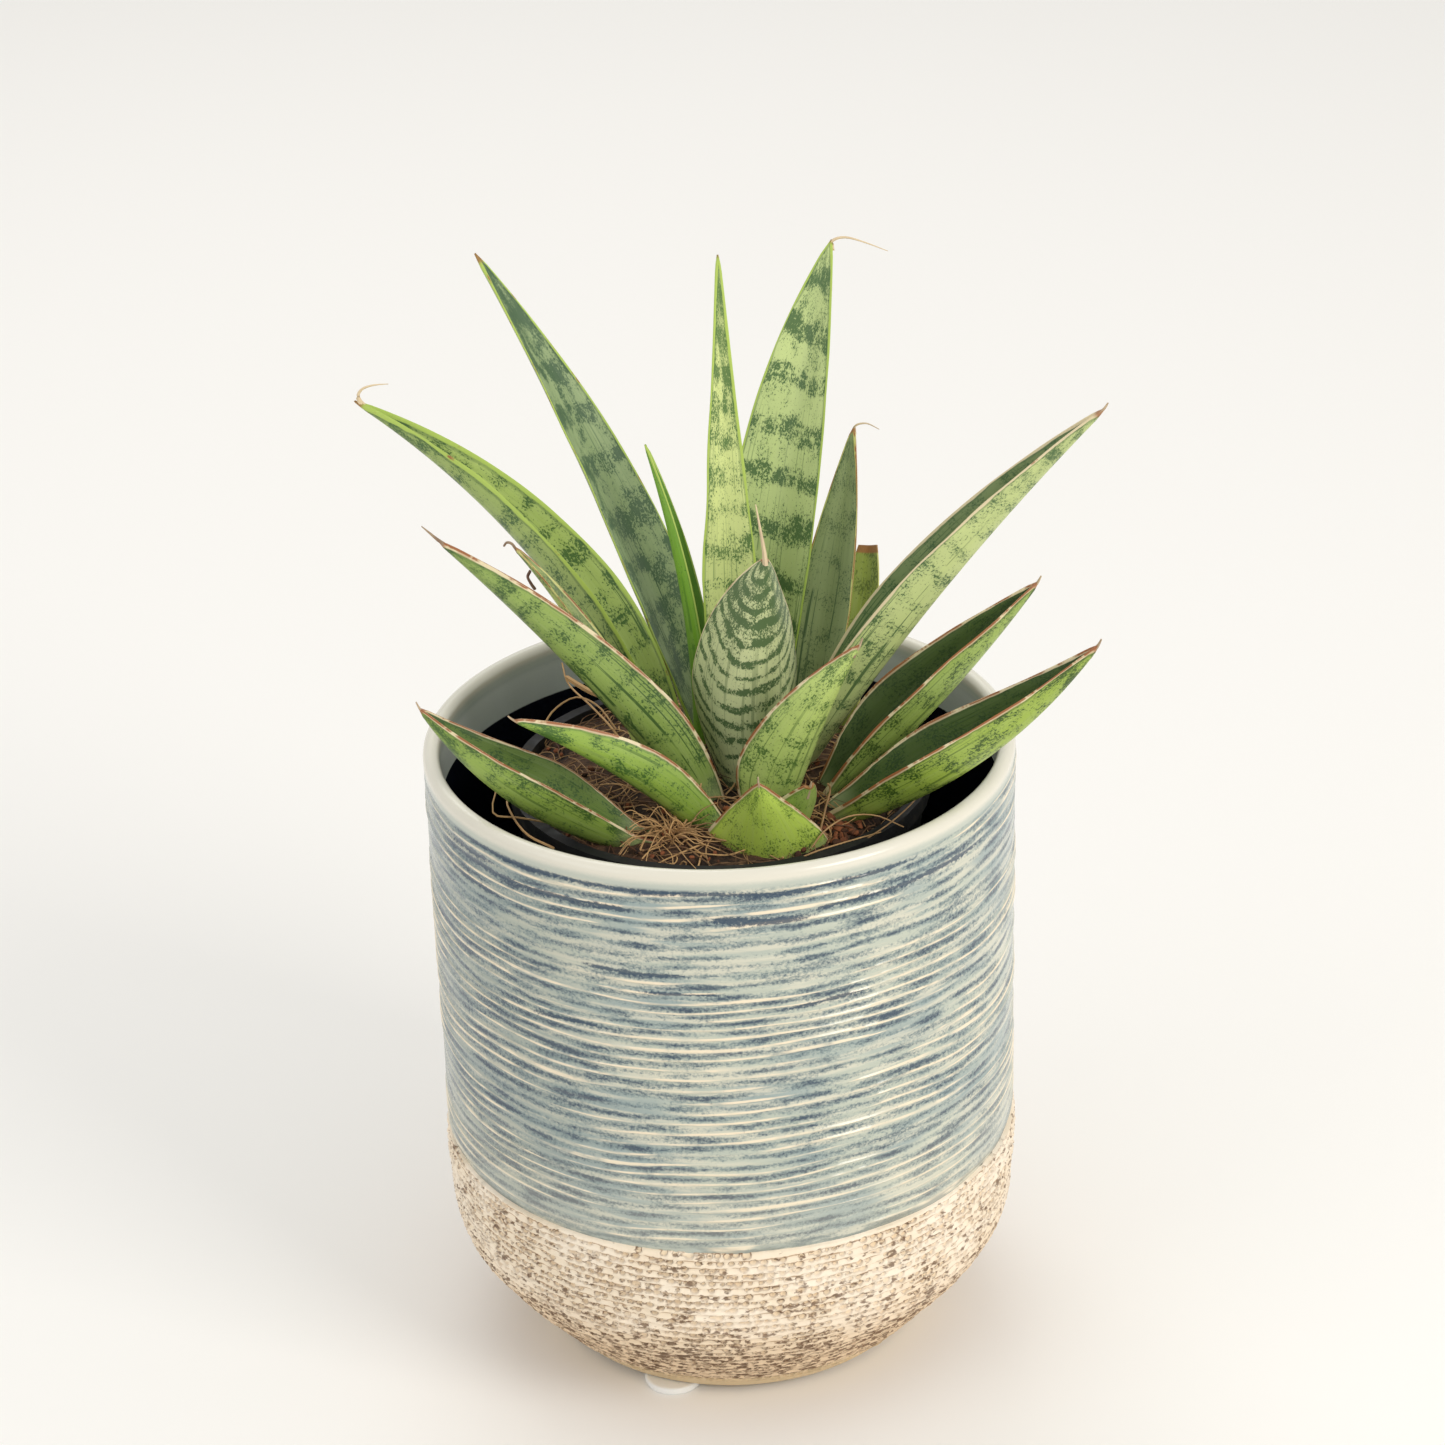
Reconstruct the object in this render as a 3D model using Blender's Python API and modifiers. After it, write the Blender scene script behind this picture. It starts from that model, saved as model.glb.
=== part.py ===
"""Potted snake plant: a glazed stoneware planter on three bumper pads, a liner pot, a root
ball and the leaves of one rosette. Lengths are in millimetres until a mesh is written,
which is in metres. +Z is up, and the origin is on the pot's axis, at the surface it stands on."""

import math
from dataclasses import dataclass

import bmesh
import bpy
from mathutils import Matrix, Vector

MM = 0.001
GAP = 0.3                 # clearance between pieces that touch on the real object

# Planter
RIM_Z = 145.5             # top of the lip, above the table
RIM_R = 65.0              # outer radius at the lip
WALL = 3.6                # wall thickness
WALL_R = 64.6             # outer radius where the wall starts to round in
SHOULDER_Z = 66.0         # height where it starts to round in
SHOULDER_WEIGHT = 4.3     # how tightly the shoulder turns, 1 is a parabola
SHOULDER_OUT_Z = 27.0     # height of the corner that pulls the outer shoulder round
SHOULDER_IN_Z = 29.0      # the same inside
FOOT_R = 43.2             # outer radius of the foot ring
FOOT_IN_R = 36.5          # inner radius of the foot ring
FOOT_H = 3.0              # height of the foot ring
FOOT_ROUND = 1.0          # how far the ring's outer edge is eased
PAD_H = 2.0               # height of the bumper pads
FLOOR = 5.0               # thickness of the planter's floor
PAD_R = 6.5
PAD_RING_R = 39.5         # the pads' centres
PAD_TURN = -112.0         # direction of the front pad, in degrees from +X
PAD_EDGE = 0.5            # bevel round a pad
PLANTER_STEPS = 60

# Liner pot
LINER_TOP_R = 45.0
LINER_TOP_Z = 136.0
LINER_FOOT_R = 34.0
LINER_WALL = 1.2
LINER_LIP = 1.4           # how far the rolled lip stands out
LINER_DRAINS = 6
LINER_DRAIN_R = 4.0
LINER_DRAIN_RING_R = 22.0
LINER_LIP_H = 4.0         # height of the lip's turned-down band
LINER_STEPS = 48

# Root ball
SOIL_EDGE_Z = 134.0
SOIL_CROWN_Z = 138.5      # the compost is heaped round the plant's crown
SOIL_HEAP_POWER = 2.4
CROWN_FOOT_Z = 133.0      # the leaves' spines start here, inside the compost

# Leaves
LEAF_STATIONS = 10        # sections along a leaf
LEAF_SPLITS = 6           # spans across a leaf
MIN_THICK = 0.45          # of a blade at its margins


@dataclass
class Leaf:
    """A leaf from its foot in the compost to its tip: places and lengths in mm, angles in degrees."""
    name: str
    foot: tuple             # x, y where the spine starts
    tip: tuple              # x, y, z where it ends
    width: float            # across the blade at its widest, flattened out
    peak: float = 0.4       # where it is widest, from 0 at the foot to 1 at the tip
    foot_width: float = 10
    bow: float = 0          # how far the middle of the spine rises above a straight line
    side: float = 0         # how far it swings to the side
    fold: float = 75        # how steeply the two halves rise from the midrib
    roll: tuple = (0, 0)    # turn of the blade about its spine, at the foot and at the tip
    thick: float = 2.6      # at the midrib, at the foot
    taper: float = 1.6      # 1 narrows in straight lines, more is fuller
    tip_width: float = 0.9


LEAVES = (
    Leaf("leaf_01_far_left", (-9, 1), (-78, 38, 211), 23, foot_width=8, bow=10, side=1, roll=(0, 10)),
    Leaf("leaf_02_tall_left", (-3, 18), (-50, 45, 242), 22, peak=0.34, bow=4.5, fold=30),
    Leaf("leaf_03_new_spear", (-5, 9), (-14, 20, 206), 11, peak=0.35, foot_width=4, bow=5, fold=60,
         roll=(40, 40), thick=1.8),
    Leaf("leaf_04_tall_centre", (3, 5), (3, 20, 249), 14, foot_width=9, bow=1, fold=35, roll=(10, 10),
         taper=0.95),
    Leaf("leaf_05_tall_right", (9, 14), (28, 44, 243), 23, peak=0.42, bow=4, side=-1, fold=25, taper=2.1),
    Leaf("leaf_06_back_right", (18, 13), (32, 36, 202), 14, peak=0.45, foot_width=8, bow=2, side=2, fold=25),
    Leaf("leaf_07_cut_stub", (26, 18), (35, 34, 174), 9, peak=0.6, foot_width=8, bow=2, side=2, fold=25,
         thick=2.4, taper=2.5, tip_width=5),
    Leaf("leaf_08_long_right", (17, 1), (80, -36, 234), 24, peak=0.38, bow=2.5, side=-1, roll=(20, 20)),
    Leaf("leaf_09_mid_right", (22, -12), (69, -10, 184), 25, foot_width=7, bow=-2, roll=(8, 12)),
    Leaf("leaf_10_low_right", (24, -20), (79, -40, 183), 26, bow=-6, roll=(12, 12)),
    Leaf("leaf_11_front_centre", (7, -12), (11, -24, 198), 34, foot_width=13, bow=3, side=0.5, fold=60,
         roll=(-12, -12), thick=2.8),
    Leaf("leaf_12_front_right", (12, -20), (30, -34, 182), 26, peak=0.28, foot_width=15, bow=1, side=1,
         fold=60, roll=(-15, -15)),
    Leaf("leaf_13_mid_left", (-3, -15), (-58, -8, 197), 26, peak=0.3, foot_width=12, bow=2, roll=(25, 25)),
    Leaf("leaf_14_thin_left", (-14, -6), (-43, 4, 190), 9, foot_width=5, bow=3.5, side=1, fold=60, thick=2),
    Leaf("leaf_15_low_left", (-18, -29), (-63, -27, 167), 25, bow=-6),
    Leaf("leaf_16_lower_left", (-2, -26), (-43, -34, 167), 19, peak=0.4, bow=2, roll=(25, 25)),
    Leaf("leaf_17_front_stub", (9, -37), (8, -45, 156), 30, peak=0.05, foot_width=28, fold=35, taper=1.1),
    Leaf("leaf_18_small_front", (15, -28), (19, -36, 150), 14, foot_width=9, fold=45, tip_width=3, thick=2),
)


def collection(name):
    made = bpy.data.collections.new(name)
    bpy.context.scene.collection.children.link(made)
    return made


def finish(name, colour, roughness, metallic=0.0):
    made = bpy.data.materials.new(name)
    made.use_nodes = True
    shader = made.node_tree.nodes["Principled BSDF"]
    shader.inputs["Base Color"].default_value = (*colour, 1.0)
    shader.inputs["Roughness"].default_value = roughness
    shader.inputs["Metallic"].default_value = metallic
    return made


def add_object(name, mesh, material, home):
    made = bpy.data.objects.new(name, mesh)
    made.data.materials.append(material)
    home.objects.link(made)
    mesh.shade_smooth()
    mesh.set_sharp_from_angle(angle=math.radians(40))
    return made


def turned(name, profile, steps, material, home):
    """Turn a profile of (radius, height) points, in mm, round the Z axis."""
    mesh = bpy.data.meshes.new(name)
    points = [(r * MM, 0.0, z * MM) for r, z in profile]
    mesh.from_pydata(points, [(i, i + 1) for i in range(len(points) - 1)], [])
    made = bpy.data.objects.new(name, mesh)
    made.data.materials.append(material)
    home.objects.link(made)
    screw = made.modifiers.new("turn", "SCREW")
    screw.steps = steps
    screw.render_steps = steps
    screw.use_merge_vertices = True
    screw.merge_threshold = 0.00001
    screw.use_smooth_shade = True
    return made


def arc(centre_r, centre_z, radius, start, end, count):
    """Points of an arc in a profile, angles in degrees from +R towards +Z."""
    points = []
    for i in range(count + 1):
        angle = math.radians(start + (end - start) * i / count)
        points.append((centre_r + radius * math.cos(angle), centre_z + radius * math.sin(angle)))
    return points


def conic(start, corner, end, weight, count):
    """Points of a rational curve from start to end that is pulled towards corner."""
    points = []
    for i in range(count + 1):
        t = i / count
        a, b, c = (1 - t) ** 2, 2 * weight * t * (1 - t), t * t
        points.append(tuple((a * start[k] + b * corner[k] + c * end[k]) / (a + b + c) for k in (0, 1)))
    return points


def planter_profile():
    lip_r = WALL / 2
    under = PAD_H + FOOT_H
    floor = under + FLOOR
    inner_wall = WALL_R - WALL
    corner_in = (inner_wall, SHOULDER_IN_Z)
    inside = conic((FOOT_R - 6, floor), corner_in, (inner_wall, SHOULDER_Z), SHOULDER_WEIGHT, 6)
    lip = arc(RIM_R - lip_r, RIM_Z - lip_r, lip_r, 180, 0, 6)
    corner_out = (WALL_R, SHOULDER_OUT_Z)
    outside = conic((WALL_R, SHOULDER_Z), corner_out, (FOOT_R, PAD_H + FOOT_ROUND), SHOULDER_WEIGHT, 10)
    foot = [(FOOT_R - 0.6, PAD_H), (FOOT_IN_R, PAD_H), (FOOT_IN_R - FOOT_ROUND, under)]
    return [(0, floor), *inside, *lip, *outside, *foot, (0, under)]


def liner_profile(floor_z):
    top_r, foot_r, wall = LINER_TOP_R, LINER_FOOT_R, LINER_WALL
    inner = top_r - wall
    inside = [(0, floor_z + wall), (foot_r - wall - 1, floor_z + wall), (foot_r - wall, floor_z + wall + 1)]
    lip = [(inner, LINER_TOP_Z), (top_r + LINER_LIP, LINER_TOP_Z), (top_r + LINER_LIP, LINER_TOP_Z - LINER_LIP_H)]
    outside = [(top_r, LINER_TOP_Z - LINER_LIP_H), (foot_r, floor_z + 1), (foot_r - 1, floor_z)]
    return [*inside, *lip, *outside, (0, floor_z)]


def soil_height(r):
    """Height of the compost at a distance from the pot's axis."""
    edge = LINER_TOP_R - LINER_WALL - GAP
    return SOIL_CROWN_Z - (SOIL_CROWN_Z - SOIL_EDGE_Z) * (min(r, edge) / edge) ** SOIL_HEAP_POWER


def soil_profile(floor_z, lift=0.0):
    edge = LINER_TOP_R - LINER_WALL - GAP
    foot = LINER_FOOT_R - LINER_WALL - GAP
    top = [(edge * i / 8, soil_height(edge * i / 8) + lift) for i in range(9)]
    return [*top, (foot, floor_z + 1.4), (foot - 1, floor_z + GAP), (0, floor_z + GAP)]


def pad(name, angle, material, home):
    height = PAD_H - GAP
    bpy.ops.mesh.primitive_cylinder_add(
        vertices=32, radius=PAD_R * MM, depth=height * MM,
        location=(PAD_RING_R * MM * math.cos(angle), PAD_RING_R * MM * math.sin(angle), height * MM / 2))
    made = bpy.context.object
    made.name = name
    made.data.materials.append(material)
    for old in made.users_collection:
        old.objects.unlink(made)
    home.objects.link(made)
    bevel = made.modifiers.new("edge", "BEVEL")
    bevel.width = PAD_EDGE * MM
    bevel.segments = 2
    return made


def leaf_width(spec, t):
    """Width of a leaf blade at t along it, from its foot at 0 to its tip at 1."""
    if t < spec.peak:
        return spec.foot_width + (spec.width - spec.foot_width) * math.sin(math.pi / 2 * t / spec.peak)
    left = 1 - ((t - spec.peak) / (1 - spec.peak)) ** spec.taper
    return spec.tip_width + (spec.width - spec.tip_width) * left


def section(width, fold, thick):
    """Upper and lower edge of a folded blade, as (across, up) points in mm."""
    half = LEAF_SPLITS // 2
    step = width / LEAF_SPLITS
    right = [(0.0, 0.0, 0.0)]
    for i in range(half):
        turn = math.radians(fold) * (1 - (1 - (i + 0.5) / half) ** 3)
        x, y, _ = right[-1]
        right.append((x + step * math.cos(turn), y + step * math.sin(turn), turn))
    left = [(-x, y, -turn) for x, y, turn in reversed(right[1:])]
    upper, lower = [], []
    for i, (x, y, turn) in enumerate(left + right):
        s = abs(i - half) / half
        t = max(thick * (1 - 0.72 * s * s), MIN_THICK) / 2
        upper.append((x - t * math.sin(turn), y + t * math.cos(turn)))
        lower.append((x + t * math.sin(turn), y - t * math.cos(turn)))
    return upper, lower


def leaf(spec, material, home):
    """Loft folded sections along a bowed spine: no primitive has such a changing section."""
    start = Vector((*spec.foot, CROWN_FOOT_Z))
    end = Vector(spec.tip)
    chord = end - start
    across = chord.cross(Vector((0, 0, 1))).normalized()
    rise = across.cross(chord).normalized()
    middle = (start + end) / 2 + rise * spec.bow * 2 + across * spec.side * 2
    bm = bmesh.new()
    rings = []
    for i in range(LEAF_STATIONS + 1):
        t = i / LEAF_STATIONS
        centre = start * (1 - t) ** 2 + middle * 2 * t * (1 - t) + end * t * t
        along = ((middle - start) * (1 - t) + (end - middle) * t).normalized()
        over = across.cross(along).normalized()
        roll = spec.roll[0] + (spec.roll[1] - spec.roll[0]) * t
        turn = Matrix.Rotation(math.radians(roll), 3, along)
        over, sideways = turn @ over, turn @ along.cross(over).normalized()
        blade = leaf_width(spec, t)
        upper, lower = section(blade, spec.fold, min(spec.thick * (1 - 0.6 * t), blade * 0.6))
        loop = upper + lower[::-1]
        rings.append([bm.verts.new((centre + sideways * x + over * y) * MM) for x, y in loop])
    count = len(rings[0])
    for a, b in zip(rings, rings[1:]):
        for k in range(count):
            bm.faces.new((a[k], a[(k + 1) % count], b[(k + 1) % count], b[k]))
    for ring in (rings[0], rings[-1]):
        for k in range(LEAF_SPLITS):
            bm.faces.new((ring[k], ring[k + 1], ring[count - 2 - k], ring[count - 1 - k]))
    bmesh.ops.recalc_face_normals(bm, faces=bm.faces)
    mesh = bpy.data.meshes.new(spec.name)
    bm.to_mesh(mesh)
    bm.free()
    return add_object(spec.name, mesh, material, home)


def cut(target, cutter):
    boolean = target.modifiers.new("cut", "BOOLEAN")
    boolean.operation = "DIFFERENCE"
    boolean.solver = "EXACT"
    boolean.object = cutter


def as_cutter(made):
    made.hide_render = True
    made.display_type = "WIRE"
    return made


def main():
    for old in list(bpy.data.objects):
        bpy.data.objects.remove(old, do_unlink=True)
    plant = collection("potted_snake_plant")
    cutters = collection("cutters")
    glaze = finish("blue_glaze", (0.42, 0.52, 0.58), 0.3)
    rubber = finish("clear_bumper", (0.86, 0.88, 0.87), 0.35)
    black = finish("black_liner", (0.02, 0.02, 0.025), 0.5)
    compost = finish("coir_compost", (0.16, 0.09, 0.05), 0.95)
    green = finish("leaf_green", (0.24, 0.4, 0.13), 0.45)

    turned("planter", planter_profile(), PLANTER_STEPS, glaze, plant)
    for i, place in enumerate(("front", "right", "left")):
        pad(f"pad_{place}", math.radians(PAD_TURN + 120 * i), rubber, plant)

    liner_z = PAD_H + FOOT_H + FLOOR + GAP
    liner = turned("liner_pot", liner_profile(liner_z), LINER_STEPS, black, plant)
    ring = LINER_DRAIN_RING_R * MM
    for i in range(LINER_DRAINS):
        angle = 2 * math.pi * i / LINER_DRAINS
        bpy.ops.mesh.primitive_cylinder_add(
            vertices=16, radius=LINER_DRAIN_R * MM, depth=6 * MM,
            location=(ring * math.cos(angle), ring * math.sin(angle), liner_z * MM))
        drill = as_cutter(bpy.context.object)
        drill.name = f"drain_cutter_{i}"
        for old in drill.users_collection:
            old.objects.unlink(drill)
        cutters.objects.link(drill)
        cut(liner, drill)

    ball_floor = liner_z + LINER_WALL
    turned("root_ball", soil_profile(ball_floor), LINER_STEPS, compost, plant)
    clearance = as_cutter(turned("soil_cutter", soil_profile(ball_floor, GAP), LINER_STEPS, compost, cutters))
    for spec in LEAVES:
        cut(leaf(spec, green, plant), clearance)


main()
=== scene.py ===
# %% [markdown]
# # A young snake plant in a ribbed stoneware planter
# This lesson dresses a finished design: the planter, its pads, the liner pot, the root ball and
# the leaves already have their places. Each piece gets its real surface here, in the order that
# a potter and a gardener would make them: planter, liner and compost, leaves, roots, dry tips.

# %% Load the fixed design
import math
import random
from dataclasses import dataclass, fields

import bpy
import numpy as np
from mathutils import Matrix, Vector, noise


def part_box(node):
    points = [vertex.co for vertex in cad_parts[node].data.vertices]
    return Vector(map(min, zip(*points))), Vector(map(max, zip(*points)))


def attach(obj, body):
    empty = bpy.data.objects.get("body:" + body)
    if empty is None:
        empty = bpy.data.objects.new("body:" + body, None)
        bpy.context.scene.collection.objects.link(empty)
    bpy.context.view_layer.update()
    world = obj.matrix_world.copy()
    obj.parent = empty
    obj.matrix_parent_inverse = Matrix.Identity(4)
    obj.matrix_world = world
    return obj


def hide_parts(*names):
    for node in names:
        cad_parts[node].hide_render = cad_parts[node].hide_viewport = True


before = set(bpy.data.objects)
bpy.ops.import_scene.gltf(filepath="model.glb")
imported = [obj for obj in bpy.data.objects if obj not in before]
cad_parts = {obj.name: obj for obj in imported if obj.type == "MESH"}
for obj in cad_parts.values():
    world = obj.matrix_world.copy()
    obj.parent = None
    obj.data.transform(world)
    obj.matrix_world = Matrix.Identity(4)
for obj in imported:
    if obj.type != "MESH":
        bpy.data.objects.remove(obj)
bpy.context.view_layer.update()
MM = 0.001

# %% [markdown]
# ## Camera
# A product view is taken from well back with a long lens, so that the rim and the foot keep
# their true proportions. The camera looks down a little, which shows the compost inside the rim.

# %% Camera
CAMERA_DISTANCE = 900 * MM
CAMERA_PITCH = math.radians(26.5)
CAMERA_ROLL = math.radians(-1.8)
CAMERA_LENS = 102.3
CAMERA_AIM = Vector((0.9, 0, 147.9)) * MM


def add_camera():
    forward = Vector((0, math.cos(CAMERA_PITCH), -math.sin(CAMERA_PITCH)))
    level = Vector((1, 0, 0))
    upward = level.cross(forward)
    right = level * math.cos(CAMERA_ROLL) + upward * math.sin(CAMERA_ROLL)
    up = upward * math.cos(CAMERA_ROLL) - level * math.sin(CAMERA_ROLL)
    camera = bpy.data.objects.new("camera", bpy.data.cameras.new("camera"))
    camera.data.lens = CAMERA_LENS
    camera.data.clip_start = 0.01
    turn = Matrix((right, up, -forward)).transposed().to_4x4()
    camera.matrix_world = Matrix.Translation(CAMERA_AIM - forward * CAMERA_DISTANCE) @ turn
    bpy.context.scene.collection.objects.link(camera)
    bpy.context.scene.camera = camera
    return camera


camera = add_camera()
print("camera at", [round(v, 3) for v in camera.location], "m, lens", CAMERA_LENS, "mm")

# %% [markdown]
# ## Light
# A white room lights the object from everywhere. A small hard lamp would cut black shadows into
# the leaves, so one large soft lamp on the right models the forms instead. A weaker one fills
# from the left, and a third lifts the back.

# %% Light
def add_area_light(name, place, aim, size, power, colour):
    lamp = bpy.data.objects.new(name, bpy.data.lights.new(name, "AREA"))
    lamp.data.size = size
    lamp.data.energy = power
    lamp.data.color = colour
    lamp.location = place
    lamp.rotation_euler = (Vector(aim) - Vector(place)).to_track_quat("-Z", "Y").to_euler()
    bpy.context.scene.collection.objects.link(lamp)


def add_world(colour, strength):
    world = bpy.data.worlds.new("white_room")
    bpy.context.scene.world = world
    world.use_nodes = True
    background = world.node_tree.nodes["Background"]
    background.inputs["Color"].default_value = (*colour, 1)
    background.inputs["Strength"].default_value = strength


bpy.context.scene.view_settings.view_transform = "Standard"
add_world((1.0, 0.995, 0.98), 0.74)
add_area_light("window_right", (0.85, -0.75, 0.75), (0, 0, 0.12), 0.55, 7.0, (1.0, 0.97, 0.92))
add_area_light("fill_left", (-0.9, -0.6, 0.7), (0, 0, 0.1), 0.8, 1.6, (0.96, 0.98, 1.0))
add_area_light("top_back", (-0.2, 0.8, 1.1), (0, 0, 0.15), 0.8, 3.0, (1.0, 1.0, 1.0))

# %% [markdown]
# ## Working by hand, in code
# Operators act on whatever is selected, so every piece starts from a clean selection. These
# helpers do what a modeller's hands do between two steps. Reading and writing all the vertices
# at once with numpy keeps a mesh of a hundred thousand of them quick to shape.

# %% Select, name and place
def select_only(piece):
    if bpy.context.mode != "OBJECT":
        bpy.ops.object.mode_set(mode="OBJECT")
    bpy.ops.object.select_all(action="DESELECT")
    piece.select_set(True)
    bpy.context.view_layer.objects.active = piece


def name_new(name):
    piece = bpy.context.object
    piece.name = name
    piece.data.name = name
    return piece


def positions(piece):
    found = np.empty(len(piece.data.vertices) * 3)
    piece.data.vertices.foreach_get("co", found)
    return found.reshape(-1, 3)


def place_vertices(piece, points):
    piece.data.vertices.foreach_set("co", np.asarray(points, dtype=float).ravel())
    piece.data.update()


def store(piece, name, kind, values):
    """Keep one value or one vector a vertex, for a material to read."""
    attribute = piece.data.attributes.new(name, kind, "POINT")
    field = "vector" if kind == "FLOAT_VECTOR" else "value"
    attribute.data.foreach_set(field, np.asarray(values, dtype=np.float32).ravel())


print("a vertex can be selected, placed, and given a value to keep")

# %% [markdown]
# ## Closing and finishing a piece
# A spun or rolled sheet has two edges that lie on each other, and holes at its ends. Welding the
# edges, filling the holes and turning the faces outwards makes it one closed skin. A finished
# piece gets its material, rides on the body it belongs to, and may stand for a node of the
# design, which is then hidden.

# %% Close and finish
WELD = 0.00001                # vertices nearer than this become one, in metres


def close_seams(piece, distance=WELD):
    select_only(piece)
    bpy.ops.object.mode_set(mode="EDIT")
    bpy.ops.mesh.select_all(action="SELECT")
    bpy.ops.mesh.remove_doubles(threshold=distance)
    bpy.ops.mesh.select_all(action="DESELECT")
    bpy.ops.mesh.select_non_manifold(extend=False, use_wire=False, use_multi_face=False, use_verts=False)
    bpy.ops.mesh.fill_holes(sides=0)
    bpy.ops.mesh.select_all(action="SELECT")
    bpy.ops.mesh.normals_make_consistent(inside=False)
    bpy.ops.object.mode_set(mode="OBJECT")


def shade_smooth(piece, degrees):
    """Smooth shading, but for edges sharper than the angle."""
    select_only(piece)
    bpy.ops.object.shade_smooth_by_angle(angle=math.radians(degrees))


def finish_piece(piece, material, replaced=None):
    """Give a piece its finish, and let it stand for the design's own node."""
    piece.data.materials.clear()
    piece.data.materials.append(material)
    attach(piece, "root")
    if replaced:
        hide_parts(replaced)
    print(piece.name, len(piece.data.polygons), "faces")


print("seams are welded at", WELD / MM, "mm")

# %% [markdown]
# ## Colours
# A colour is easiest to name as it looks on a screen, from 0 to 255. Shaders add up light, so
# they need linear values instead, and this helper turns the one into the other.

# %% Colours
def srgb(red, green, blue):
    """A colour as a painter names it, 0 to 255, in the linear values that shaders use."""
    def linear(v):
        v /= 255
        return v / 12.92 if v <= 0.04045 else ((v + 0.055) / 1.055) ** 2.4
    return (linear(red), linear(green), linear(blue), 1.0)


print("a grey of 128 sends back", round(srgb(128, 128, 128)[0], 3), "of the light")

# %% [markdown]
# ## Wiring nodes up
# A material is a small network of nodes. It could be wired by hand, node by node, but a dozen
# finishes share the same few moves: add a noise, keep part of its range, blend a colour in by
# it. This class gives each move a name, so that the finishes below read like recipes.

# %% Recipe
class Recipe:
    """A node tree that is being wired up."""

    def __init__(self, tree):
        self.tree = tree

    def add(self, kind, inputs=None, **settings):
        node = self.tree.nodes.new(kind)
        for key, value in settings.items():
            setattr(node, key, value)
        for key, value in (inputs or {}).items():
            if isinstance(value, bpy.types.NodeSocket):
                self.tree.links.new(value, node.inputs[key])
            else:
                node.inputs[key].default_value = value
        return node

    def math(self, operation, a, b=0.0, c=0.0):
        return self.add("ShaderNodeMath", {0: a, 1: b, 2: c}, operation=operation).outputs[0]

    def times(self, *values):
        """The product of several masks."""
        total = values[0]
        for value in values[1:]:
            total = self.math("MULTIPLY", total, value)
        return total

    def invert(self, value):
        return self.math("SUBTRACT", 1.0, value)

    def stretch(self, vector, scale, offset=(0, 0, 0)):
        node = self.add("ShaderNodeMapping", {"Vector": vector, "Scale": scale, "Location": offset})
        return node.outputs[0]

    def noise(self, vector, detail=3.0, rough=0.55, scale=1.0, warp=0.0):
        inputs = {"Vector": vector, "Scale": scale, "Detail": detail, "Roughness": rough}
        inputs["Distortion"] = warp
        return self.add("ShaderNodeTexNoise", inputs).outputs["Fac"]

    def step(self, value, low, high, to_low=0.0, to_high=1.0):
        """A soft step: to_low below low, to_high above high."""
        inputs = {"Value": value, "From Min": low, "From Max": high, "To Min": to_low, "To Max": to_high}
        node = self.add("ShaderNodeMapRange", inputs, interpolation_type="SMOOTHSTEP")
        return node.outputs[0]

    def blend(self, amount, a, b):
        """Colour a with an amount of colour b over it."""
        node = self.add("ShaderNodeMix", data_type="RGBA", blend_type="MIX")
        for key, value in ((0, amount), (6, a), (7, b)):
            if isinstance(value, bpy.types.NodeSocket):
                self.tree.links.new(value, node.inputs[key])
            else:
                node.inputs[key].default_value = value
        return node.outputs[2]

    def attribute(self, name):
        return self.add("ShaderNodeAttribute", attribute_name=name)

    def object_place(self):
        """Where a point is on the piece, in metres."""
        return self.add("ShaderNodeTexCoord").outputs["Object"]


print("a recipe's moves:", [move for move in vars(Recipe) if not move.startswith("_")])

# %% [markdown]
# ## Starting and ending a material
# Every finish starts from Blender's own Principled shader. It ends by joining a colour, a
# roughness and a relief to it. A value that is the same all over is set on the shader itself.

# %% Start and end a material
def new_material(name):
    material = bpy.data.materials.new(name)
    material.use_nodes = True
    recipe = Recipe(material.node_tree)
    shader = material.node_tree.nodes["Principled BSDF"]
    return material, recipe, shader


def wire(recipe, shader, colour=None, roughness=None, height=None, bump=0.5, distance=0.3 * MM, **sockets):
    """Join colour, roughness and relief to the shader, and set its steady values."""
    if colour is not None:
        recipe.tree.links.new(colour, shader.inputs["Base Color"])
    if isinstance(roughness, bpy.types.NodeSocket):
        recipe.tree.links.new(roughness, shader.inputs["Roughness"])
    elif roughness is not None:
        shader.inputs["Roughness"].default_value = roughness
    if height is not None:
        inputs = {"Height": height, "Strength": bump, "Distance": distance}
        relief = recipe.add("ShaderNodeBump", inputs)
        recipe.tree.links.new(relief.outputs[0], shader.inputs["Normal"])
    for key, value in sockets.items():
        shader.inputs[key.replace("_", " ")].default_value = value


print("a finish is a colour, a roughness and a relief")

# %% [markdown]
# ## Floor
# The pot stands on a plain, pale, matt floor. One plane far larger than the view is enough.

# %% Floor
def add_floor():
    bpy.ops.object.select_all(action="DESELECT")
    bpy.ops.mesh.primitive_plane_add(size=12, location=(0, 0, 0))
    floor = name_new("floor")
    material, recipe, shader = new_material("pale_floor")
    wire(recipe, shader, roughness=0.85)
    shader.inputs["Base Color"].default_value = srgb(246, 244, 240)
    floor.data.materials.append(material)
    return floor


floor = add_floor()
print("floor", floor.name)

# %% [markdown]
# ## The planter's profile
# The planter is thrown on a wheel: straight walls, a shoulder that rounds in, and a small foot
# ring. A wheel-made shape is one profile turned round its axis, so the profile comes first. It
# is drawn close together where the ribs will be, because they are real relief, not paint.

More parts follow.
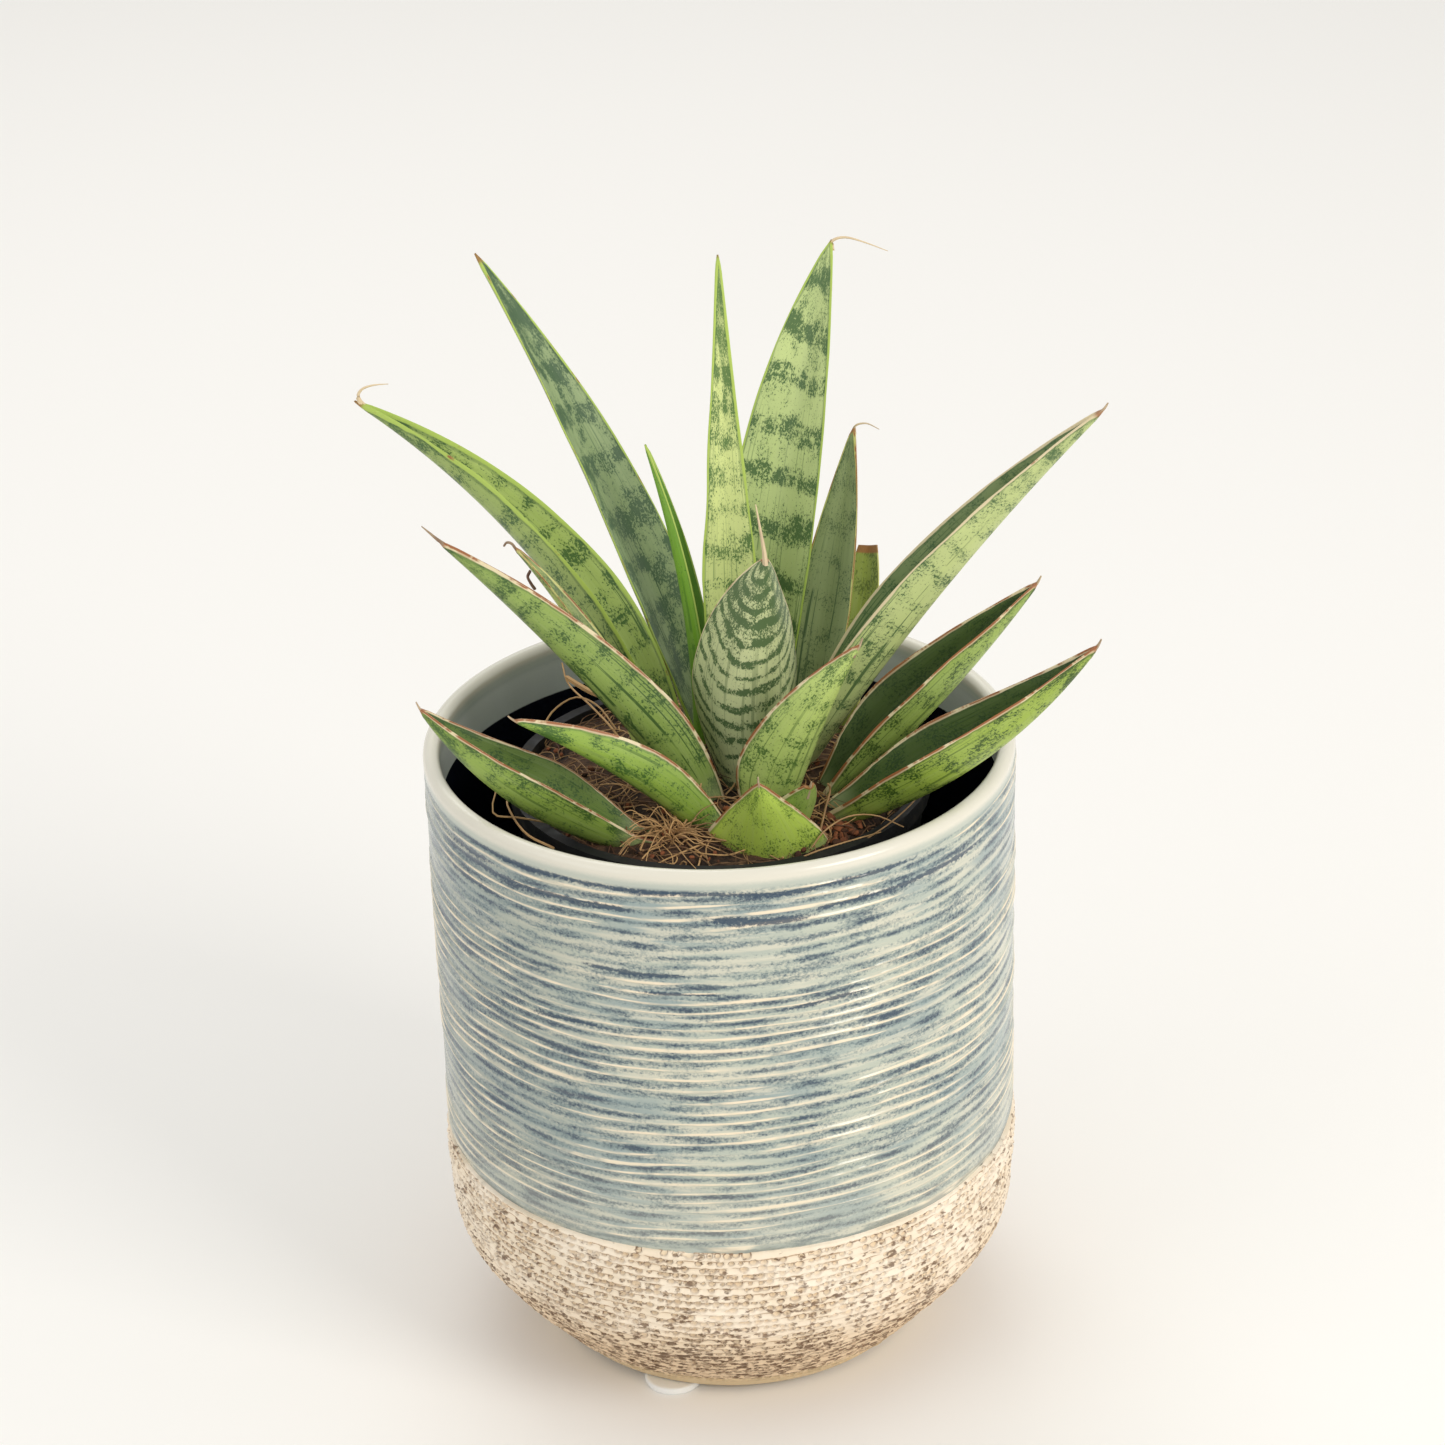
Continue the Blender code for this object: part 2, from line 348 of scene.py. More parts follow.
# %% Planter dimensions
# radii and heights, from the design's own planter and its drawing
planter_low, planter_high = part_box("planter")
RIM_R = planter_high.x
RIM_Z = planter_high.z
FOOT_Z = planter_low.z
WALL = 3.6 * MM
WALL_R = 64.6 * MM
INNER_R = WALL_R - WALL
SHOULDER_Z = 66 * MM
SHOULDER_WEIGHT = 4.3
FOOT_R = 43.2 * MM
FOOT_IN_R = 36.5 * MM
UNDER_Z = FOOT_Z + 3 * MM
FLOOR_Z = UNDER_Z + 5 * MM
GLAZE_Z = 52 * MM             # the glaze stops here, and the rough slip starts
print("rim radius and height", round(RIM_R / MM, 1), round(RIM_Z / MM, 1), "mm")

# %% [markdown]
# ## Lines for a profile
# Three kinds of line are enough for a pot: an arc for the lip, a curve that is pulled towards a
# corner for the shoulder, and straight walls. A conic suits the shoulder, because a single
# number says how full it is. The last helper spreads the points evenly along any of them.

# %% Lines for a profile
def conic(start, corner, end, weight, count):
    """Points from start to end on a curve that is pulled towards corner."""
    points = []
    for i in range(count + 1):
        t = i / count
        a, b, c = (1 - t) ** 2, 2 * weight * t * (1 - t), t * t
        points.append(tuple((a * start[k] + b * corner[k] + c * end[k]) / (a + b + c) for k in (0, 1)))
    return points


def arc(centre_r, centre_z, radius, start, end, count):
    """Points of an arc, from one angle to another, in degrees."""
    angles = [math.radians(start + (end - start) * i / count) for i in range(count + 1)]
    return [(centre_r + radius * math.cos(a), centre_z + radius * math.sin(a)) for a in angles]


def even(points, spacing):
    """The same line, with its points the same distance apart."""
    line = np.array(points)
    length = np.concatenate([[0], np.cumsum(np.linalg.norm(np.diff(line, axis=0), axis=1))])
    count = max(int(round(length[-1] / spacing)), 1)
    at = np.linspace(0, length[-1], count + 1)
    return list(zip(np.interp(at, length, line[:, 0]), np.interp(at, length, line[:, 1])))


print("a quarter circle in 3 steps:", [tuple(round(v, 2) for v in p) for p in arc(0, 0, 1, 0, 90, 3)])

# %% [markdown]
# ## The whole profile
# The line starts in the middle of the pot's floor, climbs the inside, goes over the lip, comes
# down the outside and ends in the middle of the underside. The ribbed stretch has a point every
# third of a millimetre, the rest only a few.

# %% The whole profile
RIB_STEP = 0.32 * MM
PLAIN_STEP = 2.5 * MM
INSIDE_STEP = 6 * MM


def shoulder(count=40):
    return conic((WALL_R, SHOULDER_Z), (WALL_R, 27 * MM), (FOOT_R, FOOT_Z + 1 * MM), SHOULDER_WEIGHT, count)


def outer_wall():
    """The outside, from under the lip to the foot ring."""
    return [(RIM_R, RIM_Z - WALL / 2), *shoulder()]


lip = arc(RIM_R - WALL / 2, RIM_Z - WALL / 2, WALL / 2, 180, 0, 12)
inside = conic((FOOT_R - 6 * MM, FLOOR_Z), (INNER_R, 29 * MM), (INNER_R, SHOULDER_Z), SHOULDER_WEIGHT, 10)
inside = [(0, FLOOR_Z), *inside, *even([(INNER_R, SHOULDER_Z), lip[0]], INSIDE_STEP)[1:-1]]
glazed = even([p for p in outer_wall() if p[1] > GLAZE_Z - 2 * MM], RIB_STEP)
lower = even([p for p in outer_wall() if p[1] < GLAZE_Z - 2 * MM], PLAIN_STEP)
foot = [(FOOT_R - 0.6 * MM, FOOT_Z), (FOOT_IN_R, FOOT_Z), (FOOT_IN_R - 1 * MM, UNDER_Z), (0, UNDER_Z)]
body_profile = [*inside, *lip[:-1], *glazed, *lower, *foot]
print("profile points", len(body_profile))

# %% [markdown]
# ## Turning a profile
# A pot could be a cylinder with its rings scaled one by one, but a spun line keeps the whole
# shape in one profile. One vertex is extruded along it, and the line is then spun about the
# pot's axis. The seam and the two poles are welded at the end.

# %% Spin a profile
def spin_profile(name, profile, steps):
    bpy.ops.object.select_all(action="DESELECT")
    bpy.ops.mesh.primitive_plane_add(size=MM, location=(0, 0, 0))
    piece = name_new(name)
    bpy.ops.object.mode_set(mode="EDIT")
    bpy.ops.mesh.select_all(action="SELECT")
    bpy.ops.mesh.merge(type="CENTER")
    at = Vector(profile[0])
    bpy.ops.transform.translate(value=(at.x, 0, at.y))
    for r, z in profile[1:]:
        move = {"value": (r - at.x, 0, z - at.y)}
        bpy.ops.mesh.extrude_region_move(TRANSFORM_OT_translate=move)
        at = Vector((r, z))
    bpy.ops.mesh.select_all(action="SELECT")
    bpy.ops.mesh.spin(steps=steps, angle=2 * math.pi, center=(0, 0, 0), axis=(0, 0, 1))
    bpy.ops.object.mode_set(mode="OBJECT")
    close_seams(piece)
    return piece


print("a profile is spun through", round(math.degrees(2 * math.pi)), "degrees")

# %% [markdown]
# ## Ribs left by the comb
# The potter holds a comb against the turning wall. Each tooth leaves a groove and raises a sharp
# crest between two of them. The hand isn't steady, so the crests wander, meet and fade. The same
# height that moves the clay is kept as an attribute, because the glaze follows it: it runs off
# the crests, which stay cream, and pools in the grooves, which go dark.

# %% Rib relief
RIB_PITCH = 2.5 * MM
RIB_DEPTH = 0.42 * MM
RIB_TOP = RIM_Z - 3.2 * MM
CALM_FROM = (119 * MM, 123 * MM)        # the comb pressed less in a band between these heights
CALM_TO = (130 * MM, 132 * MM)


def fade(value, low, high):
    """0 below low, 1 above high, and a smooth way between."""
    t = np.clip((value - low) / (high - low), 0, 1)
    return t * t * (3 - 2 * t)


def wander(points, scale, seed):
    """Smooth noise at each point, -1 to 1. scale is its detail per metre along x, y and z."""
    scaled = points * np.array(scale) + seed
    return np.array([noise.noise(Vector(p)) for p in scaled])


def rib_wave(points):
    """The comb's wave at each point, -1 in the middle of a groove and 1 on a crest."""
    drift = 1.1 * wander(points, (13, 13, 30), 3.1) + 0.35 * wander(points, (45, 45, 110), 7.7)
    return np.cos(2 * math.pi * (points[:, 2] / RIB_PITCH + drift))


def rib_height(points, wave):
    """0 in a groove to 1 on a crest, with fading crests and a few extra ones."""
    crest = (0.5 + 0.5 * wave) ** 6
    extra = fade(wander(points, (20, 20, 480), 11.3), 0.15, 0.5)
    strength = 0.25 + 0.75 * fade(wander(points, (32, 32, 130), 5.9), -0.3, 0.2)
    calm = 1 - 0.75 * fade(points[:, 2], *CALM_FROM) * (1 - fade(points[:, 2], *CALM_TO))
    return np.clip(crest * strength * calm + 0.4 * extra, 0, 1)


print("about", round((RIB_TOP - GLAZE_Z) / RIB_PITCH), "ribs,", round(RIB_DEPTH / MM, 2), "mm deep")

# %% [markdown]
# ## Where the glaze pooled
# Two long dark runs lie just under the lip on the front, and another where the wall turns to the
# left. Each is a wavering line of its own height, length and thickness.

# %% Pools of dark glaze
# height, from x, to x, thickness, all in mm; on the front half only
POOLS = (
    (140.4, -60, 44, 1.0),
    (135.6, -63, -14, 1.3),
    (134.2, -8, 22, 1.6),
    (135.2, 14, 60, 1.1),
    (137.6, -63, -44, 1.6),
    (130.2, -64, -42, 1.2),
    (120.6, -34, -4, 1.0),
    (116.4, -22, 4, 0.7),
    (112.6, 8, 34, 0.9),
    (106.0, -46, -22, 0.9),
)


def pool_mask(points):
    x, y, z = points.T
    mask = np.zeros(len(points))
    waver = wander(points, (45, 45, 10), 21.0) * 1.1 * MM
    ragged = wander(points, (420, 420, 300), 2.6)
    for height, start, end, thick in POOLS:
        along = fade(x, start * MM, (start + 9) * MM) * (1 - fade(x, (end - 9) * MM, end * MM))
        half = thick * MM * (0.35 + 0.5 * along) * (1 + 0.6 * ragged)
        away = np.abs(z - height * MM - waver)
        mask = np.maximum(mask, (1 - fade(away, 0.1 * half, 1.2 * half)) * along * (y < 0))
    return mask


print(len(POOLS), "pools of dark glaze")

# %% [markdown]
# ## The planter
# The spun body gets its relief by moving each vertex straight out from the axis. Where the rough
# slip will lie, the wall is set back, so that only the slip shows. What each vertex is, on a
# crest, in a groove, in a pool or on the outside, is stored with it for the glaze.

# %% Spin the planter
PLANTER_STEPS = 256
SLIP_RECESS = 0.9 * MM


def push_outward(piece, amount):
    points = positions(piece)
    radius = np.maximum(np.hypot(points[:, 0], points[:, 1]), 1e-6)
    points[:, :2] *= ((radius + amount) / radius)[:, None]
    place_vertices(piece, points)


def wall_radius(z):
    """Radius of the outer face at each height."""
    line = np.array(outer_wall()[::-1])
    return np.interp(z, line[:, 1], line[:, 0])


planter = spin_profile("planter_body", body_profile, PLANTER_STEPS)
points = positions(planter)
radius, height = np.hypot(points[:, 0], points[:, 1]), points[:, 2]
outside = (radius > INNER_R + 1.4 * MM) | (height < FLOOR_Z - 1 * MM) & (radius > FOOT_R - 1 * MM)
outside = outside | (height < SHOULDER_Z) & (radius > wall_radius(height) - 1.2 * MM)
ribbed = outside * fade(height, GLAZE_Z - 1.5 * MM, GLAZE_Z + 0.5 * MM)
ribbed = ribbed * (1 - fade(height, RIB_TOP - 2 * MM, RIB_TOP + 1 * MM))
wave = rib_wave(points)
ribs = rib_height(points, wave) * ribbed
pools = pool_mask(points) * ribbed
under_slip = outside * fade(height, 4.5 * MM, 8 * MM)
under_slip = under_slip * fade(-height, -GLAZE_Z + 0.2 * MM, -GLAZE_Z + 1.2 * MM)
push_outward(planter, (ribs - 0.35 - 0.25 * pools) * RIB_DEPTH * ribbed - SLIP_RECESS * under_slip)
store(planter, "rib", "FLOAT", ribs)
store(planter, "groove", "FLOAT", ribbed * (0.5 - 0.5 * wave))
store(planter, "pool", "FLOAT", pools)
store(planter, "outside", "FLOAT", outside * 1.0)
shade_smooth(planter, 50)
print("ribbed vertices", int((ribbed > 0.5).sum()))

# %% [markdown]
# ## The rough slip
# Below the glaze the pot wears a thick chalky slip that bubbled in the kiln. It stands a little
# proud of the wall, in combed rows full of burst bubbles. It is its own thin shell, fine enough
# that the craters are really there.

# %% Line of the slip
SLIP_PROUD = 0.35 * MM
SLIP_STEP = 0.43 * MM         # fine enough for pits of a millimetre
slip_line = [p for p in outer_wall() if p[1] < SHOULDER_Z + 1 * MM]
slip_line = [p for p in even(slip_line, SLIP_STEP) if FOOT_Z + 2.6 * MM < p[1] < GLAZE_Z]


def slip_profile():
    """A closed line: down the face, in at the bottom and back up inside the wall."""
    face = [(r + SLIP_PROUD, z) for r, z in slip_line]
    back = [(r - 1.1 * MM, z) for r, z in slip_line[::12][::-1]]
    top, bottom = slip_line[0], slip_line[-1]
    start = (top[0] - 0.6 * MM, top[1] + 0.4 * MM)
    return [start, *face, (bottom[0] - 0.5 * MM, bottom[1] - 0.4 * MM), *back, start]


print("the slip's face is", round((len(slip_line) - 1) * SLIP_STEP / MM, 1), "mm from top to foot")

# %% [markdown]
# ## Burst bubbles
# Bubbles that burst in the kiln left a pit each, strung along the combed rows like beads. They
# could be a bump in the material, but the light rakes over them, so they are in the mesh. The
# dice that place them have a fixed seed, so the same pot comes out of the kiln every time.

# %% Rows and pits
ROW_PITCH = 1.8 * MM
PIT_HALF = (0.5, 0.95)        # half the width of a pit, from and to, in mm
PIT_GAP = (0.1, 0.9)
FOOT_REACH = 42 * MM          # the slip's smallest radius


def row_of(angle, z):
    """Which row of the comb a place is in, with the rows' slow sway round the pot."""
    return z / ROW_PITCH + 0.3 * np.sin(3 * angle) + 0.08 * np.sin(7 * angle + 1)


def pits(maker):
    """Burst bubbles as angle, height and half their width, strung along each row."""
    low, high = slip_line[-1][1], slip_line[0][1]
    for row in range(int(low / ROW_PITCH) - 1, int(high / ROW_PITCH) + 3):
        angle = -math.pi
        while angle < math.pi:
            z = (row - row_of(angle, 0)) * ROW_PITCH + maker.gauss(0, 0.12 * MM)
            half = maker.uniform(*PIT_HALF) * MM * (1.25 if maker.random() < 0.12 else 1)
            gap = maker.uniform(*PIT_GAP) * MM * (3.5 if maker.random() < 0.25 else 1)
            if low < z < high:
                yield angle, z, half
            angle += (2 * half + gap) / float(wall_radius(z))


print("rows of pits", round((slip_line[0][1] - slip_line[-1][1]) / ROW_PITCH))

# %% [markdown]
# ## The nearest bubble
# Every point of the slip has to know its nearest pit. Comparing each point with each pit would
# take long, so the points are sorted by their angle round the pot, and a pit only asks those
# beside it.

# %% Nearest pit
def craters(points, seed):
    """How far each point is from the nearest pit, 0 in its middle and 1 on its rim, and how much
    it is on the pit's upper side."""
    maker = random.Random(seed)
    nearest = np.full(len(points), 3.0)
    above = np.zeros(len(points))
    angle = np.arctan2(points[:, 1], points[:, 0])
    radius = np.hypot(points[:, 0], points[:, 1])
    order = np.argsort(angle)
    sorted_angle = angle[order]
    for a, z, wide in pits(maker):
        tall = min(wide * maker.uniform(0.7, 0.95), 0.78 * MM)
        reach = 2.4 * wide / FOOT_REACH
        first, last = np.searchsorted(sorted_angle, (a - reach, a + reach))
        near = order[first:last]
        across = (angle[near] - a) * radius[near] / wide
        up = (points[near, 2] - z) / tall
        away = np.sqrt(across ** 2 + up ** 2)
        closer = away < nearest[near]
        nearest[near[closer]] = away[closer]
        above[near[closer]] = np.clip(up[closer], -1, 1)
    return nearest, above


print("about", sum(1 for _ in pits(random.Random(5))), "pits")

# %% [markdown]
# ## The slip coat
# The coat is spun like the pot, then roughened in three sizes: the comb's ridges, coarse lumps
# and fine grit. A pit sinks in its middle and has a raised rim.

# %% Spin the slip coat
SLIP_STEPS = 700
slip = spin_profile("rough_slip_coat", slip_profile(), SLIP_STEPS)
points = positions(slip)
face = fade(np.hypot(points[:, 0], points[:, 1]), FOOT_R - 3 * MM, FOOT_R)
crater, above = craters(points, 5)
row = row_of(np.arctan2(points[:, 1], points[:, 0]), points[:, 2])
ridges = 0.5 - 0.5 * np.cos(2 * math.pi * row)
ridges = ridges * fade(wander(points, (50, 50, 160), 6.4), -0.5, 0.2)
grit = wander(points, (900, 900, 900), 4.4)
coarse = wander(points, (240, 240, 520), 9.4)
rim = fade(crater, 0.8, 1.15) * (1 - fade(crater, 1.2, 1.8))
relief = 0.35 * ridges + 0.22 * coarse + 0.1 * grit + 0.25 * rim - 0.5 * (1 - fade(crater, 0.5, 1.1))
push_outward(slip, (relief - 0.15) * MM * face)
store(slip, "crater", "FLOAT", crater)
# kept for the painted shadow on the upper side of each pit's ring
store(slip, "above", "FLOAT", above)
store(slip, "row", "FLOAT", row)
shade_smooth(slip, 60)
print("craters cover", round(float((crater < 1).mean()), 2), "of the slip")

# %% [markdown]
# ## The glaze
# One glaze makes all the colours, by how thick it lies. Thin on a crest it breaks to cream, on
# the walls it is a pale grey blue, and in the grooves iron and cobalt turn it slate and navy.
# The masks come from the same relief that shaped the clay, so colour and form agree.

# %% Glaze colours
GLAZE_BLUE = srgb(152, 167, 165)
GLAZE_SEA = srgb(188, 194, 179)
# a darker glaze, painted on the left side as painted shade
GLAZE_PAINTED_SHADE = srgb(146, 153, 142)
GLAZE_CREAM = srgb(216, 212, 192)
CREST_CREAM = srgb(244, 228, 200)
WASH_BLUE = srgb(104, 125, 130)
WASH_NAVY = srgb(42, 66, 88)
LIP_PALE = srgb(226, 221, 206)
LIP_GREY = srgb(190, 196, 184)
INSIDE_GREY = srgb(204, 210, 204)
INSIDE_DARK = srgb(14, 18, 28)
LAST_TEAL = srgb(88, 108, 112)
FOOT_CLAY = srgb(222, 198, 158)
DARK_LINE_Z = 132.5 * MM      # inside the rim, the wall is coloured near black below this height
print("the inside is dark below", round(DARK_LINE_Z / MM, 1), "mm")

# %% [markdown]
# ## The glaze's ground
# Noises stretched round the pot stand for the glaze's uneven run: broad clouds, thin streaks and
# a fine grain. The ground under everything is a blend of grey blue, sea green and cream, and the
# left side, where the wall turns away from the lamp, is painted a little duller, as painted shade.

# %% Glaze ground
def glaze_masks(r):
    """The noises and stored values that the layers of glaze share."""
    where = r.object_place()
    split = r.add("ShaderNodeSeparateXYZ", {0: where})
    masks = {name: r.attribute(name).outputs["Fac"] for name in ("rib", "groove", "pool", "outside")}
    masks["x"], masks["z"] = split.outputs["X"], split.outputs["Z"]
    masks["cloud"] = r.noise(r.stretch(where, (26, 26, 60)), detail=4)
    masks["thin"] = r.noise(r.stretch(where, (42, 42, 560)), detail=4)
    masks["grain"] = r.noise(r.stretch(where, (1300, 1300, 1800)), detail=3, rough=0.7)
    masks["patch"] = r.noise(r.stretch(where, (80, 80, 430)), detail=3)
    masks["worn"] = r.noise(r.stretch(where, (100, 100, 380), (0.1, 0.2, 0.3)), detail=3)
    crazing = {"Vector": r.stretch(where, (700, 700, 900))}
    crazing = r.add("ShaderNodeTexVoronoi", crazing, feature="DISTANCE_TO_EDGE")
    masks["crazing"] = crazing.outputs["Distance"]
    # painted shade: rises to 1 on the pot's left side, away from the lamp
    masks["left"] = r.step(masks["x"], -0.015, -0.058)
    masks["speck"] = r.math("MULTIPLY_ADD", masks["grain"], 1.7, -0.85)
    return masks


def glaze_ground(r, m):
    colour = r.blend(r.step(m["cloud"], 0.4, 0.6), GLAZE_BLUE, GLAZE_SEA)
    colour = r.blend(r.times(r.step(m["thin"], 0.44, 0.6), 0.75), colour, GLAZE_CREAM)
    # painted shade: the left side is blended towards a darker glaze
    return r.blend(r.times(m["left"], 0.55), colour, GLAZE_PAINTED_SHADE)


print("the glaze's ground is ready")

# %% [markdown]
# ## Washes and crests
# The blue wash gathers where the groove is deep and the noise is high, and turns navy where it is
# thickest. On the left side a little more wash is painted in, as painted shade. Fine lines of
# crazing and the worn crests let the cream through. The pools go on last, with ragged edges, and
# the glaze ends in a teal line above the slip.

# %% Washes and crests
def glaze_washes(r, m, colour):
    wet = r.math("ADD", r.math("MULTIPLY_ADD", m["patch"], 2.3, -1.16), r.times(m["groove"], 0.55))
    # painted shade: the left side gets a little more wash
    wet = r.math("ADD", wet, r.math("MULTIPLY_ADD", m["left"], 0.12, m["speck"]))
    colour = r.blend(r.times(r.step(wet, 0.0, 0.6), 0.78), colour, WASH_BLUE)
    return r.blend(r.times(r.step(wet, 0.42, 0.95), m["outside"], 0.95), colour, WASH_NAVY)


def glaze_crests(r, m, colour):
    cracks = r.times(r.step(m["crazing"], 0.05, 0.01), m["outside"], 0.16)
    colour = r.blend(cracks, colour, GLAZE_CREAM)
    bare = r.step(m["worn"], 0.38, 0.56, 0.25, 0.95)
    crest = r.times(r.step(m["rib"], 0.36, 0.72), m["outside"], bare)
    return r.blend(crest, colour, CREST_CREAM)


def glaze_pools(r, m, colour):
    soaked = r.step(r.math("ADD", m["pool"], r.times(m["speck"], 1.1)), 0.2, 0.85)
    colour = r.blend(r.times(soaked, m["outside"], 0.9), colour, WASH_NAVY)
    last = r.times(r.step(m["z"], 55 * MM, 53 * MM), r.step(m["patch"], 0.4, 0.55), 0.7)
    colour = r.blend(last, colour, LAST_TEAL)
    return r.blend(r.times(r.step(m["z"], 80 * MM, 54 * MM), 0.22), colour, GLAZE_CREAM)


print("the washes, crests and pools are ready")

# %% [markdown]
# ## The planter's finish
# The lip is wiped nearly bare, the inside is grey and near black lower down, and the foot is
# raw clay. Those zones go by height, over the layers so far. The relief in the material is only
# the fine streaks and grain; the ribs themselves are in the mesh.

# %% Glaze material
def glaze_zones(r, m, colour):
    """Lip, inside and foot."""
    z = m["z"]
    lip_at = r.math("MULTIPLY_ADD", m["grain"], 0.7 * MM, z)
    colour = r.blend(r.step(lip_at, RIM_Z - 4.1 * MM, RIM_Z - 3.1 * MM, 0, 0.9), colour, LIP_GREY)
    colour = r.blend(r.step(lip_at, RIM_Z - 3.0 * MM, RIM_Z - 1.2 * MM, 0, 0.95), colour, LIP_PALE)
    inner = r.invert(m["outside"])
    colour = r.blend(r.times(inner, r.step(z, RIM_Z - 2 * MM, RIM_Z - 6 * MM)), colour, INSIDE_GREY)
    deep = r.step(z, DARK_LINE_Z + 0.4 * MM, DARK_LINE_Z)
    colour = r.blend(r.times(inner, deep), colour, INSIDE_DARK)
    raw = r.times(r.step(z, 9.5 * MM, 8.5 * MM), r.step(z, 12 * MM, 10 * MM))
    return r.blend(raw, colour, FOOT_CLAY)


def glaze_material():
    material, r, shader = new_material("reactive_glaze")
    m = glaze_masks(r)
    colour = glaze_ground(r, m)
    for layer in (glaze_washes, glaze_crests, glaze_pools, glaze_zones):
        colour = layer(r, m, colour)
    rough = r.step(m["z"], 7 * MM, 10 * MM, 0.75, 0.22)
    relief = r.math("ADD", r.times(m["thin"], 0.5), r.times(m["grain"], 0.12))
    coat = {"Coat_Weight": 0.2, "Coat_Roughness": 0.08}
    wire(r, shader, colour, rough, relief, bump=0.35, distance=0.3 * MM, **coat)
    return material


finish_piece(planter, glaze_material(), "planter")
print("the planter is glazed")

# %% [markdown]
# ## The slip's finish
# The slip is chalk dry. Iron gathered round each burst bubble, so a crater has a brown ring and a
# tan heart, and towards the foot it joins into dark dashes. The ring is painted darker on the
# pit's upper side as painted shadow, and a thin brown line under each ridge is painted shadow too.

# %% Slip material
SLIP_CHALK = srgb(252, 240, 222)
SLIP_SAND = srgb(236, 216, 186)
FOOT_SAND = srgb(226, 188, 140)
RING_BROWN = srgb(118, 84, 58)
# painted shadow: the colour of the thin line under each ridge
RIDGE_SHADOW_TAN = srgb(176, 142, 108)
PIT_TAN = srgb(238, 216, 184)
DASH_DARK = srgb(100, 70, 46)


def slip_material():
    material, r, shader = new_material("chalky_slip")
    where = r.object_place()
    z = r.add("ShaderNodeSeparateXYZ", {0: where}).outputs["Z"]
    crater = r.attribute("crater").outputs["Fac"]
    row = r.attribute("row").outputs["Fac"]
    above = r.attribute("above").outputs["Fac"]
    cloud = r.noise(r.stretch(where, (60, 60, 130)), detail=4)
    grain = r.noise(r.stretch(where, (1100, 1100, 1500)), detail=3)
    dash = r.noise(r.stretch(where, (340, 340, 1150)), detail=3)
    low = r.step(z, 40 * MM, 14 * MM)
    bare = r.step(cloud, 0.4, 0.6, 0.4, 1.0)
    colour = r.blend(r.times(r.math("MAXIMUM", bare, low), 0.6), SLIP_CHALK, SLIP_SAND)
    colour = r.blend(r.times(low, 0.5), colour, FOOT_SAND)
    # painted shadow: a thin brown line runs along the upper edge of each row of pits, under the ridge above
    # it
    nearby = r.math("FRACT", r.math("ADD", row, r.math("MULTIPLY_ADD", grain, 0.12, 0.12)))
    nearby = r.math("ABSOLUTE", r.math("SUBTRACT", nearby, 0.5))
    line = r.times(r.step(nearby, 0.15, 0.05), r.step(dash, 0.4, 0.55), r.step(cloud, 0.34, 0.5, 0.3, 0.85))
    colour = r.blend(line, colour, RIDGE_SHADOW_TAN)
    ragged = r.math("MULTIPLY_ADD", grain, 0.3, r.math("SUBTRACT", crater, 0.15))
    colour = r.blend(r.times(r.step(ragged, 0.95, 0.75), bare), colour, PIT_TAN)
    ring = r.times(r.step(ragged, 0.7, 0.88), r.step(ragged, 1.22, 1.05))
    # painted shadow: the brown ring is darker on the pit's upper side, where its edge shades it
    painted_shade = r.step(above, -0.9, 0.6, 0.35, 1.0)
    deep = r.math("MULTIPLY_ADD", low, 0.35, r.times(bare, 0.85))
    colour = r.blend(r.times(ring, painted_shade, deep), colour, RING_BROWN)
    stained = r.math("MULTIPLY_ADD", low, 0.1, r.times(r.step(crater, 1.9, 1.0, 0.9, 1.04), dash))
    colour = r.blend(r.times(r.step(stained, 0.58, 0.67), 0.75), colour, DASH_DARK)
    colour = r.blend(r.times(r.step(z, 7.5 * MM, 6 * MM), 0.8), colour, FOOT_CLAY)
    wire(r, shader, colour, 0.85, grain, bump=0.45, distance=0.2 * MM)
    return material


finish_piece(slip, slip_material())
print("the slip coat is finished")

# %% [markdown]
# ## Bumpers and liner
# Three clear silicone bumpers keep the foot off the table, and a thin black nursery pot holds the
# plant. Their shapes in the design are already right, so they keep them and only get a finish.

# %% Bumper and liner finishes
def bumper_material():
    material, r, shader = new_material("clear_silicone")
    where = r.object_place()
    haze = r.noise(r.stretch(where, (300, 300, 300)), detail=3)
    colour = r.blend(haze, srgb(250, 250, 248), srgb(240, 240, 236))
    rough = r.step(haze, 0.3, 0.7, 0.25, 0.45)
    wire(r, shader, colour, rough, haze, bump=0.1, IOR=1.41)
    return material


def liner_material():
    material, r, shader = new_material("black_nursery_plastic")
    where = r.object_place()
    dust = r.noise(r.stretch(where, (240, 240, 500)), detail=5)
    scratch = r.noise(r.stretch(where, (80, 80, 1600)), detail=2)
    colour = r.blend(r.times(r.step(dust, 0.5, 0.75), 0.5), srgb(22, 22, 24), srgb(70, 62, 54))
    rough = r.step(dust, 0.3, 0.7, 0.6, 0.85)
    wire(r, shader, colour, rough, scratch, bump=0.2, distance=0.2 * MM)
    return material


def refinish(node, material):
    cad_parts[node].data.materials.clear()
    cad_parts[node].data.materials.append(material)


silicone = bumper_material()
for place in ("front", "right", "left"):
    refinish(f"pad_{place}", silicone)
refinish("liner_pot", liner_material())
print("refinished the pads and the liner pot")

# %% [markdown]
# ## Leaves: the numbers
# A snake plant's leaf is a stiff blade with a gutter along it. It rises from the crown, swells a
# little, and narrows to a dry point. A few numbers describe it: where it stands, where it ends,
# how wide it is and where, how deep its gutter is and how far it bows and twists. The rest
# are its colours and how strong each mark of its pattern is.

# %% What describes a leaf
CROWN_Z = 133
MIN_THICK = 0.45


